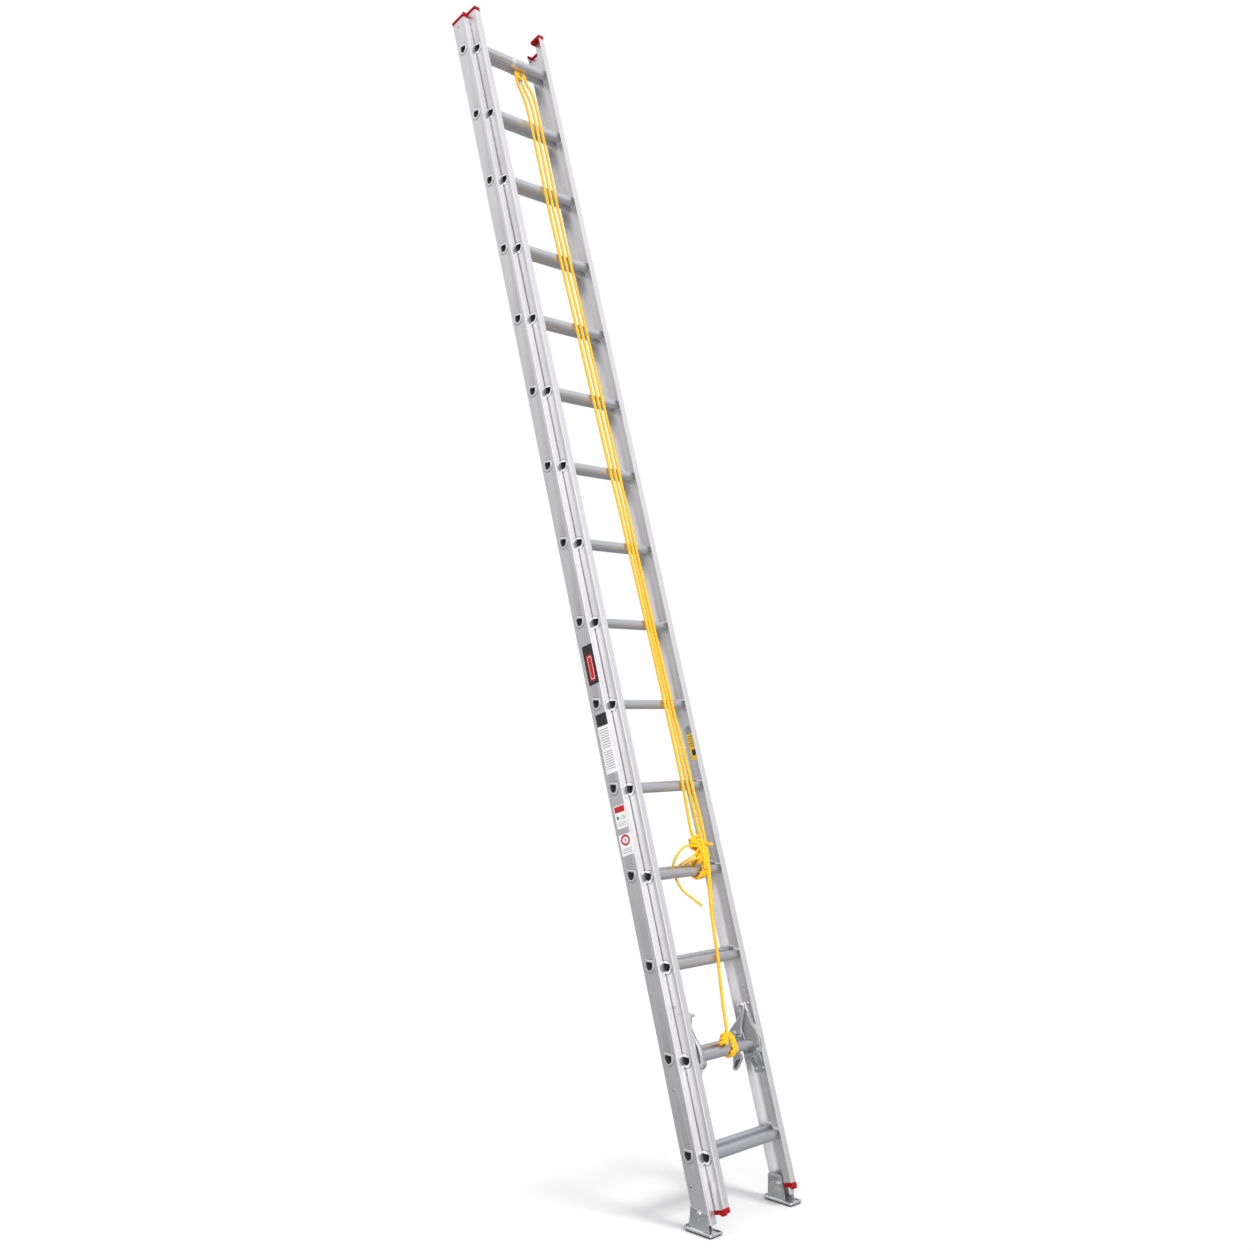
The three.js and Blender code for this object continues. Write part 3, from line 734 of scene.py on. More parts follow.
def add_floor():
    """A wide pale disc that takes a soft shadow near the ladder and fades into a white backdrop."""
    work = bmesh.new()
    bmesh.ops.create_circle(work, cap_ends=True, cap_tris=True, segments=96, radius=FLOOR_RADIUS)
    mesh = bpy.data.meshes.new("floor")
    work.to_mesh(mesh)
    work.free()
    floor = add_object("floor", mesh)
    shader = Shader("floor", Roughness=0.9, Specular_IOR_Level=0.0, Emission_Strength=1.0)
    feet = [Vector((x, 0, 0)) * MM for x in (-FOOT_X, FOOT_X)]
    away = [shader.vector("DISTANCE", shader.place, foot, "Value") for foot in feet]
    nearest = shader.add("Math")
    nearest.operation = "MINIMUM"
    for distance, socket in zip(away, nearest.inputs):
        shader.put(shader.spread(distance, 0.0, 1.0, *FADE), socket)
    fade = nearest.outputs["Value"]
    cloud = shader.ramp(
        shader.noise(shader.place, 1.5, 3.0), [(0.3, (0.76, 0.76, 0.76)), (0.7, (0.78, 0.78, 0.78))]
    )
    shader.surface(shader.mix(fade, cloud, BLACK))
    shader.put(shader.mix(fade, BLACK, WHITE), shader.bsdf.inputs["Emission Color"])
    mesh.materials.append(shader.material)
    floor.visible_glossy = False
    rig.stage(floor)


def add_area(name, place, target, size, power, colour):
    data = bpy.data.lights.new(name, "AREA")
    data.shape, data.size, data.energy, data.color = "DISK", size, power, colour
    light = add_object(name, data)
    light.location = place
    light.rotation_euler = (Vector(target) - Vector(place)).to_track_quat("-Z", "Y").to_euler()
    return light


SOFTBOX = (-0.74, -0.6, 0.3)  # towards the softbox that the rounded edges catch
SKY = [(0.0, 0.2), (0.3, 0.27), (0.5, 0.46), (0.7, 0.8), (1.0, 0.95)]  # the light from below to overhead


def add_light():
    """An even white studio: dimmer below, brighter overhead, with a soft key from the front."""
    world = bpy.data.worlds.new("studio")
    bpy.context.scene.world = world
    world.use_nodes = True
    studio = Nodes(world.node_tree, "Generated")
    split = studio.add("SeparateXYZ", Vector=studio.place)
    height = studio.spread(split.outputs["Z"], 0.0, 1.0, -1.0, 1.0)
    sky = studio.ramp(height, [(at, (level, level, level * 1.02)) for at, level in SKY])
    beside = studio.vector("DOT_PRODUCT", studio.place, SOFTBOX, "Value")
    glow = studio.spread(beside, 0.0, 1.6, 0.88, 0.94)
    lit = studio.vector("ADD", sky, glow, "Vector")
    backdrop = studio.mix(studio.add("LightPath").outputs["Is Camera Ray"], lit, WHITE)
    studio.put(backdrop, studio.tree.nodes["Background"].inputs["Color"])
    add_area("key", (0.9, -5.6, 6.0), (0.0, 0.0, 0.3), 2.4, 430, (1, 0.99, 0.97)).visible_glossy = False
    add_area("fill", (-4.5, -5.0, 3.0), (0, 0.6, 2.2), 4.0, 60, (0.94, 0.97, 1)).visible_glossy = False
    bpy.context.scene.view_settings.view_transform = "Standard"


# ---------------------------------------------------------------- rope

STEP = 4.0  # between a rope's rings, along it


def hanging(*places):
    """Places (x, z) of a rope that hangs in front of the fly rungs."""
    return [(x, ROPE_FRONT, z) for x, z in places]


# Routes in the ladder's frame: the hoisting strand from the pulley down to the knot on the fly
HOIST_ROUTE = [
    (79, PULLEY.y, PULLEY.z), (79.5, -27, 4190), (75, -45, 4144), (58, -68, 4090), (47, -82, 4030),
    (46, ROPE_OUT, 3910),
    *hanging(
        (54, 3560), (63.5, 3080), (74, 2550), (79, 2056), (87, 1590), (103, 1200), (109, 1060), (107, 985),
        (98, 905), (81, 820), (62, 730), (46, 620), (31, 510), (18, 425), (11, 358),
    ),
]
# the strand from the pulley to the hitch, and back up to the eye under the pulley
RETURN_DOWN = [
    (28, PULLEY.y, PULLEY.z), (27.5, -26, 4190), (16, -41, 4144), (-2, -66, 4090), (-10, -82, 4030),
    (-8, ROPE_OUT, 3910),
    *hanging((2, 3560), (14, 3020), (26, 2545), (41, 2056), (52, 1590), (55, 1200), (48, 1064)),
]
RETURN_UP = [
    *hanging((86, 1064), (80, 1200), (69.5, 1590), (60, 2056), (50, 2545), (39, 3020), (27, 3560)),
    (20, ROPE_OUT, 3910), (21, -81, 4030), (33, -60, 4098), (46, -38, 4150), (51, -29, 4174),
]
# the cut end: a wide loose loop that passes behind the fly rung and comes forward below it
TAIL_ROUTE = [
    (44.5, -80, 984), (22, -80, 984), (-8, -78, 981), (-32, -70, 965), (-42, -55, 945), (-40, -36, 925),
    (-32, -26, 908), (-29, -26, 886), (-33, -38, 859), (-29, -54, 829), (-8, -66, 802), (20, -74, 774),
]
# what leaves the lashing: two small loops over the fly rung, and a short end on the right
LOOP_ROUTES = [
    [
        (50, -88, 968), (28, -88, 951), (7, -84, 941), (-6, -62, 931), (-9, -38, 924), (-2, -26, 914),
        (14, -24, 906),
    ],
    [
        (62, -88, 950), (42, -88, 938), (22, -84, 934), (15, -62, 927), (20, -38, 923), (32, -26, 914),
        (46, -24, 906),
    ],
]
# and strands drawn down over the front of it
FRONT_ROUTES = [
    [(47, ROPE_FRONT, 1040), (46, -80, 1015), (49, -90, 985), (56, -94, 955), (62, -92, 925), (64, -84, 896)],
    [(86, ROPE_FRONT, 1045), (82, -81, 1015), (74, -90, 985), (66, -95, 955), (72, -92, 925), (77, -84, 896)],
]
SHORT_END_ROUTE = [(58, -88, 1000), (80, -91, 992), (98, -90, 984), (113, -88, 979), (126, -86, 980)]
DOUBLED_LOW, DOUBLED_HIGH = 560, 962  # heights between which the strand below the lashing is doubled


def smooth_route(points):
    """Points spaced evenly along a smooth line through the route's own points."""
    knots = [Vector(p) for p in points]
    knots = [knots[0] * 2 - knots[1]] + knots + [knots[-1] * 2 - knots[-2]]
    line = []
    for a, b, c, d in zip(knots, knots[1:], knots[2:], knots[3:]):
        t1 = (b - a).length ** 0.5
        t2 = t1 + (c - b).length ** 0.5
        t3 = t2 + (d - c).length ** 0.5
        count = max(2, math.ceil((c - b).length / STEP))
        for i in range(count):
            t = t1 + (t2 - t1) * i / count
            ab = a * ((t1 - t) / t1) + b * (t / t1)
            bc = b * ((t2 - t) / (t2 - t1)) + c * ((t - t1) / (t2 - t1))
            cd = c * ((t3 - t) / (t3 - t2)) + d * ((t - t2) / (t3 - t2))
            abc = ab * ((t2 - t) / t2) + bc * (t / t2)
            bcd = bc * ((t3 - t) / (t3 - t1)) + cd * ((t - t1) / (t3 - t1))
            line.append(abc * ((t2 - t) / (t2 - t1)) + bcd * ((t - t1) / (t2 - t1)))
    line.append(knots[-2])
    return line


def length_of(line):
    return sum((b - a).length for a, b in zip(line, line[1:]))


def tube(line, sides, radius):
    """A closed tube's points and faces; radius(travelled, angle) is how far it reaches from the line."""
    vertices = []
    normal = (line[1] - line[0]).orthogonal().normalized()
    travelled = 0.0
    for i, here in enumerate(line):
        tangent = (line[min(i + 1, len(line) - 1)] - line[max(i - 1, 0)]).normalized()
        normal = (normal - tangent * normal.dot(tangent)).normalized()
        side = tangent.cross(normal)
        if i:
            travelled += (here - line[i - 1]).length
        for k in range(sides):
            angle = math.tau * k / sides
            ray = normal * math.cos(angle) + side * math.sin(angle)
            vertices.append(here + ray * radius(travelled, angle))
    ends = [tuple(range(sides)), tuple(range(len(vertices) - sides, len(vertices)))]
    return vertices, sleeve(sides, len(line)) + ends


BRAID_SIDES = 16
BRAID_LOBES = 4
BRAID_LAY = 26.0  # mm for one turn of a strand
BRAID_DEPTH = 0.04  # how far the grooves lie below the crowns, as a share of the radius


def braid(line, width, end):
    """A braided rope's mesh along a line, its strands crossing both ways; its far end swells to end times."""
    total = length_of(line)
    crowns = []

    def radius(travelled, angle):
        turn = math.tau * travelled / BRAID_LAY
        crown = math.cos(BRAID_LOBES * angle + turn) * math.cos(BRAID_LOBES * angle - turn)
        crowns.append(0.5 + 0.5 * crown)
        swell = 1 + (end - 1) * max(0.0, 1 - (total - travelled) / (1.2 * width))
        return width / 2 * swell * (1 - BRAID_DEPTH + BRAID_DEPTH * crown)

    mesh = turned_out(mesh_of(*tube(line, BRAID_SIDES, radius)))
    attribute = mesh.attributes.new("crown", "FLOAT", "POINT")
    attribute.data.foreach_set("value", crowns)
    return painted(mesh, ROPE_FIBRE)


def wire(points, radius):
    """A round bright wire along a list of points."""
    vertices, faces = tube([Vector(p) for p in points], 8, lambda travelled, angle: radius)
    return painted(finished(mesh_of(vertices, faces)), BRIGHT)


def rope(
    name, line, far_end="object", lay="taut", replaces=(), pieces=(), width=ROPE, end=1.0,
    place=LADDER, body="base",
):
    """A length of the rope as a declared cord."""
    made = piece(name, braid(line, width, end), place, body, "rope_yellow", replaces)
    path = [place @ (p * MM) for p in line]
    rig.cord(
        made, exit=path[0], length=length_of(line) * MM, diameter=width * MM, far_end=far_end,
        stiffness="limp", lay=lay, path=path, with_pieces=pieces,
    )
    return made


def over_pulley():
    steps, first, radius = 16, 0.06, PULLEY_ROPE + 0.5
    for i in range(steps):
        angle = first + (math.pi - first) * i / steps
        yield (PULLEY.x + radius * math.cos(angle), PULLEY.y, PULLEY.z + radius * math.sin(angle))


def under_hitch():
    steps, x, z, radius = 8, 67, 1032, 20
    for i in range(steps + 1):
        angle = math.pi * (1 + i / steps)
        yield (x + radius * math.cos(angle), ROPE_FRONT, z + radius * math.sin(angle))


def turns_round(outline, start, count, pitch, tilt):
    """Turns of rope along a closed outline in (y, z), one beside the other along x and tilted."""
    total, steps = len(outline), 36
    low = min(b for _, b in outline)
    points = []
    for i in range(int(count * steps) + 1):
        at = (i / steps) % 1 * total
        a, b = outline[int(at) % total], outline[(int(at) + 1) % total]
        share = at - int(at)
        y, z = a[0] + (b[0] - a[0]) * share, a[1] + (b[1] - a[1]) * share
        points.append(Vector((start + pitch * i / steps + tilt * (z - low), y, z)))
    return resampled(points, STEP)


def wraps(centre, wide, deep, count, pitch, slope, taper=0.0, drift=0.0, step=STEP):
    """Turns round an upright bundle, each one sloping to one side and the upper ones tighter."""
    points, steps = [], 30
    for i in range(int(count * steps) + 1):
        angle = math.tau * i / steps - math.pi / 2
        up = i / (count * steps)
        x = (1 - taper * up) * wide * math.cos(angle) + drift * up
        y = (1 - taper * up) * deep * math.sin(angle)
        points.append(Vector(centre) + Vector((x, y, pitch * i / steps + slope * x / wide)))
    return resampled(points, step)


def resampled(line, step):
    """The same line with evenly spaced points."""
    points, left = [line[0]], step
    for a, b in zip(line, line[1:]):
        span = (b - a).length
        while left <= span:
            points.append(a.lerp(b, left / span))
            left += step
        left -= span
    return points


def add_rope():
    hoist = smooth_route([*HOIST_ROUTE, (8, -72, 338)])
    strand = rope("hoist_strand", hoist, "knot", replaces=["rope_hoist"], pieces=["knot_body"])
    run = (PULLEY.z - HOIST_ROUTE[-1][2]) * MM
    travel = joint("fly_slide")["range_m"][1]
    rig.squash(strand, "fly_slide", axis=UP, anchor=LADDER @ (PULLEY * MM), keep=1 - travel / run)
    back = smooth_route([*over_pulley(), *RETURN_DOWN, *under_hitch(), *RETURN_UP])
    rope("return_strands", back, replaces=["rope_return"])
    rope("loose_tail", smooth_route(TAIL_ROUTE), "bare", "loose", ["rope_tail"], width=TAIL, end=1.4)
    add_hitch(hoist)


def add_hitch(hoist):
    """The lashing of both fourth rungs: turns, wraps over the strands, loops and a doubled strand."""
    low = [
        (-75, 888), (-64, 874), (-44, 871), (-26, 884), (-22.5, 904), (-30, 924), (-48, 934), (-66, 946),
        (-76, 930),
    ]
    rope("hitch_turns", turns_round(fillet(low, 9, 4), 52, 2.3, 11.6, tilt=0.06), replaces=["rope_hitch"])
    rope("hitch_wraps", wraps((60, -78, 962), 33, 12, 3.2, 11.8, -10))
    rope("hitch_cross_wraps", wraps((74, -78, 928), 27, 12, 3.1, 12.0, 15))
    rope("hitch_knob", wraps((38, -80, 990), 6.5, 5.5, 2.0, 5.5, 0, step=3.0))
    for number, route in enumerate(FRONT_ROUTES, 1):
        rope(f"hitch_front_{number}", smooth_route(route))
    for number, route in enumerate(LOOP_ROUTES, 1):
        rope(f"hitch_loop_{number}", smooth_route(route), lay="loose", width=TAIL)
    rope("short_end", smooth_route(SHORT_END_ROUTE), "bare", "loose", end=1.25)
    beside = []
    for point in hoist:
        if DOUBLED_LOW < point.z < DOUBLED_HIGH:
            share = min(1.0, (point.z - DOUBLED_LOW) / (DOUBLED_HIGH - DOUBLED_LOW) * 1.6)
            beside.append(point + Vector((-9.5 * share, -3.0, 0)))
    rope("doubled_strand", beside)


def add_knot():
    """The rope's end round the second fly rung: two wide turns in front, and the wrapped knot above them."""
    tall = [
        (-23.5, -8), (-13, -20.5), (7, -21.5), (20.5, -8), (22, 18), (15, 38), (1, 50), (-16, 50), (-25, 36),
        (-25, 18),
    ]
    turns = turns_round(fillet(tall, 8, 3), 19, 2.1, 12.6, tilt=-0.14)
    body = wraps((-8, -13, 21), 16, 12, 3.3, 9.8, 4, taper=0.45, drift=20)
    knotted = {"width": KNOTTED, "place": LOCK, "body": "fly"}
    rope("knot_body", body, replaces=["rope_knot"], **knotted)
    rope("knot_turns", turns, **knotted)


# ---------------------------------------------------------------- rails

LIP = 1.4  # how far the base rail's front lip reaches past its flange
BEAD, BEAD_FRONT = 3.4, 14.2  # the bead that fills the corner behind the base rail's front flange
BASE_INNER = (BASE_FRONT + BASE_FLANGE_THICK, BASE_REAR - BASE_FLANGE_THICK)
BASE_SECTION = moved([
    (0, BASE_FRONT), (BASE_FLANGE + LIP, BASE_FRONT), (BASE_FLANGE + LIP, BASE_INNER[0]),
    (BASE_WEB, BASE_INNER[0]),
    (BASE_WEB, BASE_INNER[1]), (BASE_FLANGE, BASE_INNER[1]), (BASE_FLANGE, BASE_REAR), (0, BASE_REAR),
], -BASE_HALF, 0)
BASE_ROUND = [4.5, 1.5, 1.5, 3.0, 3.0, 1.5, 1.5, 4.5]
FLY_INNER = (FLY_FRONT + FLY_FLANGE_THICK, FLY_REAR - FLY_FLANGE_THICK)
FLY_SECTION = moved([
    (0, FLY_FRONT), (FLY_FLANGE, FLY_FRONT), (FLY_FLANGE, FLY_INNER[0]), (FLY_WEB, FLY_INNER[0]),
    (FLY_WEB, FLY_REAR), (-FLY_GUIDE, FLY_REAR), (-FLY_GUIDE, FLY_INNER[1]), (-BEAD, FLY_INNER[1]),
    (-BEAD, BEAD_FRONT), (0, BEAD_FRONT),
], -FLY_HALF, 0)
FLY_ROUND = [4.0, 1.2, 1.2, 2.5, 3.0, 1.2, 1.2, 0.4, 0.6, 0.4]


def rail_mesh(section, rounds, low, high, half, material):
    """A rail with a D hole for each rung."""
    rail = prism([fillet(section, rounds)], "z", low, high)
    hole = rung_outline(GAP)
    holes = [prism([moved(hole, 0, k * PITCH)], "x", -half - 5, -half + 5) for k in range(RUNGS)]
    return painted(without(rail, joined(holes)), material)


def swage_mesh(half, web, rise):
    """The rung's end spread over the rail: a rolled ring outside the web and a bead inside it, painted near white as
    highlight, with a thin band round the ring painted dark as a shadow.
    """
    outline = rung_outline()
    ring = [
        (-2.4, -1), (-1.6, -rise), (1, -rise - 0.2), (4.4, -rise), (6.6, -0.6 * rise), (7.4, 0), (-2.2, 0)
    ]
    # a flat band just outside the ring, painted dark as the shadow line round it
    groove = [(7.3, -0.25), (8.4, -0.25), (8.4, 0.0), (7.3, 0.0)]
    bead = [(-0.2, 0.0), (5.6, 0.0), (5.4, 2.0), (4.0, 4.2), (1.8, 5.4), (0.2, 5.8)]
    # ring and bead in the near-white aluminium: a painted highlight
    outside = painted(band(outline, ring, "x", -half), HIGHLIGHT_ALUMINIUM)
    shadow = painted(band(outline, groove, "x", -half), PAINTED_SHADE)
    inside = painted(band(outline, bead, "x", -half + web), HIGHLIGHT_ALUMINIUM)
    return joined([outside, shadow, inside])


def rivets(places, facing, radius, height):
    """Rivet heads on a face whose normal is +x or -x, each on a thin disc painted dark as a shadow round the head."""
    head = painted(lathe(dome(radius, height), "x", count=20), BRIGHT)
    # a thin disc painted dark: the shadow round the head
    head_shadow = painted(lathe(rod(radius + 0.9, -0.2, 0.12), "x", count=20), PAINTED_SHADE)
    head = joined([head, head_shadow])
    if facing < 0:
        head = mirrored(head)
    heads = []
    for place in places:
        copy = head.copy()
        copy.transform(Matrix.Translation(Vector(place) * MM))
        heads.append(copy)
    return heads


def add_rails():
    base = rail_mesh(BASE_SECTION, BASE_ROUND, BASE_LOW, BASE_HIGH, BASE_HALF, RAIL)
    fly = rail_mesh(FLY_SECTION, FLY_ROUND, FLY_LOW, FLY_HIGH, FLY_HALF, FLY_RAIL)
    both("base_rail_profile", base, LADDER, "base", "rail_aluminium", "base_rail_{side}")
    both("fly_rail_profile", fly, FLY, "fly", "rail_aluminium", "fly_rail_{side}")
    base_places = [(-BASE_HALF, y, z) for y, z in ((16, -94), (5, 206), (2, 4376))]
    both("base_rivets", joined(rivets(base_places, -1, 5.0, 1.8)), LADDER, "base", "galvanised_steel")
    heads = []
    for x, facing in ((-FLY_HALF, -1), (-FLY_HALF + FLY_WEB, 1)):
        heads += rivets([(x, y, z) for y, z in ((-4, 4408), (3, 477), (-6, 455))], facing, 3.4, 1.3)
    both("fly_rivets", joined(heads), FLY, "fly", "galvanised_steel")
    shape = [(-27, FLY_LOW + 3), (13, FLY_LOW + 3), (13, -70), (-27, -80)]
    plate = painted(prism([fillet(shape, 1.5, 2)], "x", -FLY_HALF - 0.9, -FLY_HALF, bevel=0.3), FLY_RAIL)
    # a thin near-black inset: painted shade along the plate's edge
    edge = painted(prism([fillet(grown(shape, -1.0), 2, 2)], "x", -FLY_HALF - 0.35, -FLY_HALF), PAINTED_SHADE)
    both("fly_wear_plate", joined([plate, edge]), FLY, "fly", "rail_aluminium")
    curve = [
        (-2, -14), (0, -8), (3, -3), (3, 3), (-1, 6), (-5, 4), (-6, -1), (-3, -6), (3, -10), (8, -12),
        (12, -8),
    ]
    clip = [(-FLY_HALF + FLY_WEB + 1.2, 8 + y * 1.3, 494 + 0.7 * z) for z, y in curve]
    both("fly_clip", wire(clip, 1.3), FLY, "fly", "rail_aluminium")


# ---------------------------------------------------------------- rungs


def rung_mesh(half):
    """A hollow D tube with a ribbed tread; what shows inside its ends is painted near black as shade."""
    outer, inner = rung_outline(ribs=True), rung_outline(-RUNG_WALL)
    mesh = painted(prism([outer, inner], "x", -half - RUNG_PROUD, half + RUNG_PROUD), RUNG)
    # the inner faces take the near-black painted shade
    mesh.materials.append(PAINTED_SHADE)
    wall = (RUNG_RADIUS - RUNG_WALL / 2) * MM
    for face in mesh.polygons:
        centre = Vector((0, face.center.y, face.center.z))
        inward = face.normal.dot(centre) < 0 and centre.length < wall
        face.material_index = 1 if inward else 0
    return mesh


def add_rungs(section, body, half, web, rise):
    tube, swage = rung_mesh(half), swage_mesh(half, web, rise)
    ends = joined([swage, mirrored(swage)])
    for number in range(1, RUNGS + 1):
        node = f"{section}_rung_{number:02d}"
        place = Matrix.Translation(rung_centre(node)) @ TILT
        piece(f"{section}_tread_{number:02d}", tube, place, body, "rung_aluminium", [node])
        piece(f"{section}_swages_{number:02d}", ends, place, body, "rail_aluminium")


# ---------------------------------------------------------------- end caps


CAP_OUT, CAP_IN = 1.2, 2.4  # how far a cap stands out from the rail, and how far it reaches in past its walls


def base_cap_outline():
    outer, inner, tip = -CAP_OUT, BASE_WEB + CAP_IN, BASE_FLANGE
    front, rear = BASE_FRONT - CAP_OUT, BASE_REAR + CAP_OUT
    near, far = BASE_INNER[0] + CAP_IN, BASE_INNER[1] - CAP_IN
    return moved([
        (outer, front), (tip, front), (tip, near), (inner, near), (inner, far), (tip, far), (tip, rear),
        (outer, rear),
    ], -BASE_HALF, 0)


def fly_cap_outline(covered):
    """The cap follows the fly rail's section; the top one also covers the channel."""
    outer, inner, tip = -CAP_OUT, FLY_WEB + CAP_IN, FLY_FLANGE
    front, rear, near = FLY_FRONT - CAP_OUT, FLY_REAR + CAP_OUT, FLY_INNER[0] + CAP_IN
    guide = FLY_INNER[1] - CAP_OUT
    channel = [(tip, rear)] if covered else [(tip, near), (inner, near), (inner, rear)]
    return moved([
        (outer, front), (tip, front), *channel, (-FLY_GUIDE, rear), (-FLY_GUIDE, guide), (outer, guide),
    ], -FLY_HALF, 0)


def cap_mesh(outline, slim, rounds, edge, away):
    """A moulded cap that follows a rail's end: a crowned band and a thin skirt round the rail."""
    near, far = sorted((edge + away * GAP, edge + away * CAP_HEIGHT))
    crown = prism([fillet(outline, rounds)], "z", near, far, bevel=1.1)
    skirt_near, skirt_far = sorted((edge - away * 3.0, edge + away * 2.6))
    skirt = prism([fillet(slim, rounds)], "z", skirt_near, skirt_far, bevel=0.25, rounds=1)
    return painted(joined([crown, skirt]), CAP)


def skirt_outline(section, rounds):
    """The outline of the skirt, just outside a rail."""
    return grown(fillet(section, rounds, 3), 0.9)


def add_caps():
    rounds = [3.5, 1.5, 1.5, 2.0, 2.0, 1.5, 1.5, 3.5]
    base = cap_mesh(base_cap_outline(), skirt_outline(BASE_SECTION, BASE_ROUND), rounds, BASE_HIGH, 1)
    both("base_cap", base, LADDER, "base", "cap_plastic", "base_top_cap_{side}")
    top = cap_mesh(
        fly_cap_outline(True), skirt_outline(FLY_SECTION, FLY_ROUND), [3.5, 3.5, 3.0, 1.2, 1.2, 2.0],
        FLY_HIGH, 1,
    )
    both("fly_cap", top, FLY, "fly", "cap_plastic", "fly_top_cap_{side}")
    rounds = [3.5, 1.5, 1.5, 2.0, 2.0, 1.2, 1.2, 2.0]
    bottom = cap_mesh(fly_cap_outline(False), skirt_outline(FLY_SECTION, FLY_ROUND), rounds, FLY_LOW, -1)
    edge = FLY_LOW - CAP_HEIGHT
    lobe = fillet(
        [(-30, edge + 5), (-30, edge - 5), (-16, edge - 7), (-6, edge + 1), (2, edge + 5)], [4, 5, 7, 5, 1]
    )
    lobes = prism([lobe], "x", -FLY_HALF - 1, -FLY_HALF + 13, bevel=1.2)
    both(
        "fly_foot_cap", joined([bottom, painted(lobes, CAP)]), FLY, "fly", "cap_plastic",
        "fly_bottom_cap_{side}",
    )


# ---------------------------------------------------------------- shoes, about their bolts

PAD, SOLE_THICK, SHOE_PLATE = 5.7, 3.0, 2.8
SOLE_TOP = PAD + GAP + SOLE_THICK - BOLT_HEIGHT
SOLE = [(-31, -66), (29, -66), (29, 50), (17, 64), (-15, 64), (-31, 46)]
OUTER_X = -BASE_HALF - GAP - SHOE_PLATE
INNER_X = -BASE_HALF + BASE_FLANGE + GAP


def sole_mesh():
    """The pressed tray: a flat sole with a rolled rim painted in the brighter zinc as highlight, and a flat band inside
    it painted dark as shade.
    """
    outline = [(x - FOOT_X, y) for x, y in fillet(SOLE, [9, 9, 7, 7, 7, 7])]
    plate = prism([outline], "z", SOLE_TOP - SOLE_THICK, SOLE_TOP, bevel=0.8)
    rim = [
        (-5.0, -0.4), (-4.8, 1.8), (-4.0, 3.4), (-2.4, 4.2), (-0.9, 3.4), (-0.2, 1.8), (-0.2, -2.4),
        (-0.6, -3.0),
        (-4.4, -3.0),
    ]
    # a flat band inside the rim, painted dark as the shade along it
    groove = [(-7.4, -0.3), (-5.0, -0.3), (-5.0, 0.5), (-7.4, 0.4)]
    # the rim takes the brighter zinc: a painted highlight
    edge = painted(band(outline, rim, "z", SOLE_TOP), BRIGHT)
    return joined([painted(plate, STEEL), edge, painted(band(outline, groove, "z", SOLE_TOP), PAINTED_SHADE)])


def side_plate(points, radii, x, holes):
    return prism([fillet(points, radii), *holes], "x", x, x + SHOE_PLATE, bevel=0.5)


def flared(mesh, below, reach):
    """The plate's foot bent outward where it meets the sole."""
    for vertex in mesh.vertices:
        share = max(0.0, min(1.0, (below - vertex.co.z / MM) / 22))
        vertex.co.x -= reach * MM * share * share
    return mesh


def shoe_mesh():
    bore = circle(5.3, count=28)
    outer = [(-45, SOLE_TOP - 0.6), (46, SOLE_TOP - 0.6), (40, -20), (37, 15), (-37, 6), (-39, -20)]
    inner = [(-30, SOLE_TOP - 0.6), (46, SOLE_TOP - 0.6), (45, 22), (40, 28), (-8, 30), (-16, 24)]
    small = [circle(2.6, 14, 14, 20), circle(2.6, 26, 6, 20)]
    near = flared(side_plate(outer, [4, 4, 14, 3, 3, 10], OUTER_X, [bore]), -40, 3)
    far = side_plate(inner, [4, 4, 5, 5, 7, 7], INNER_X, [bore, *small])
    tie = fillet([(36, SOLE_TOP - 0.5), (42, SOLE_TOP - 0.5), (41, -34), (38, -34)], 1)
    web = prism([tie], "x", OUTER_X + 2, INNER_X + 1, bevel=0.3)
    arc = [math.radians(195 + 130 * i / 10) for i in range(11)]
    outside = [(10 * math.cos(a) - 2, 10 * math.sin(a) - 14) for a in arc]
    inside = [(7.6 * math.cos(a) - 2, 7.6 * math.sin(a) - 14) for a in reversed(arc)]
    embossed = outside + inside
    marks = [prism([embossed], "x", x, x + 1.7, bevel=0.4, rounds=1) for x in (OUTER_X - 0.9, INNER_X + 2.0)]
    gusset = [(-1.2, -1.2), (3.5, -1.2), (-1.2, 3.5)]
    welds = []
    for x, sign in ((OUTER_X - 3, -1), (INNER_X + SHOE_PLATE, 1)):
        welds.append(prism([[(x + sign * a, SOLE_TOP + b) for a, b in gusset]], "y", -22, 34))
    body = painted(joined([near, far, web, *welds]), STEEL)
    return joined([sole_mesh(), body, painted(joined(marks), BRIGHT)])


def pad_mesh():
    """The rubber sole: a plate with cross ribs that stand on the floor."""
    outline = [(0.94 * x - FOOT_X, 0.965 * y) for x, y in fillet(SOLE, [8, 8, 6, 6, 6, 6])]
    plate = prism([outline], "z", 2.4 - BOLT_HEIGHT, PAD - BOLT_HEIGHT, bevel=0.6)
    ribs = []
    for i in range(9):
        y = -57 + 13.2 * i
        low, high = (-28, 26) if y < 40 else (-21, 20)
        corners = [(low, y - 3.6), (high, y - 3.6), (high, y + 3.6), (low, y + 3.6)]
        bar = fillet([(x - FOOT_X, along) for x, along in corners], 1.2, 2)
        ribs.append(prism([bar], "z", -BOLT_HEIGHT, 3 - BOLT_HEIGHT, bevel=0.5))
    return painted(joined([plate, *ribs]), RUBBER)


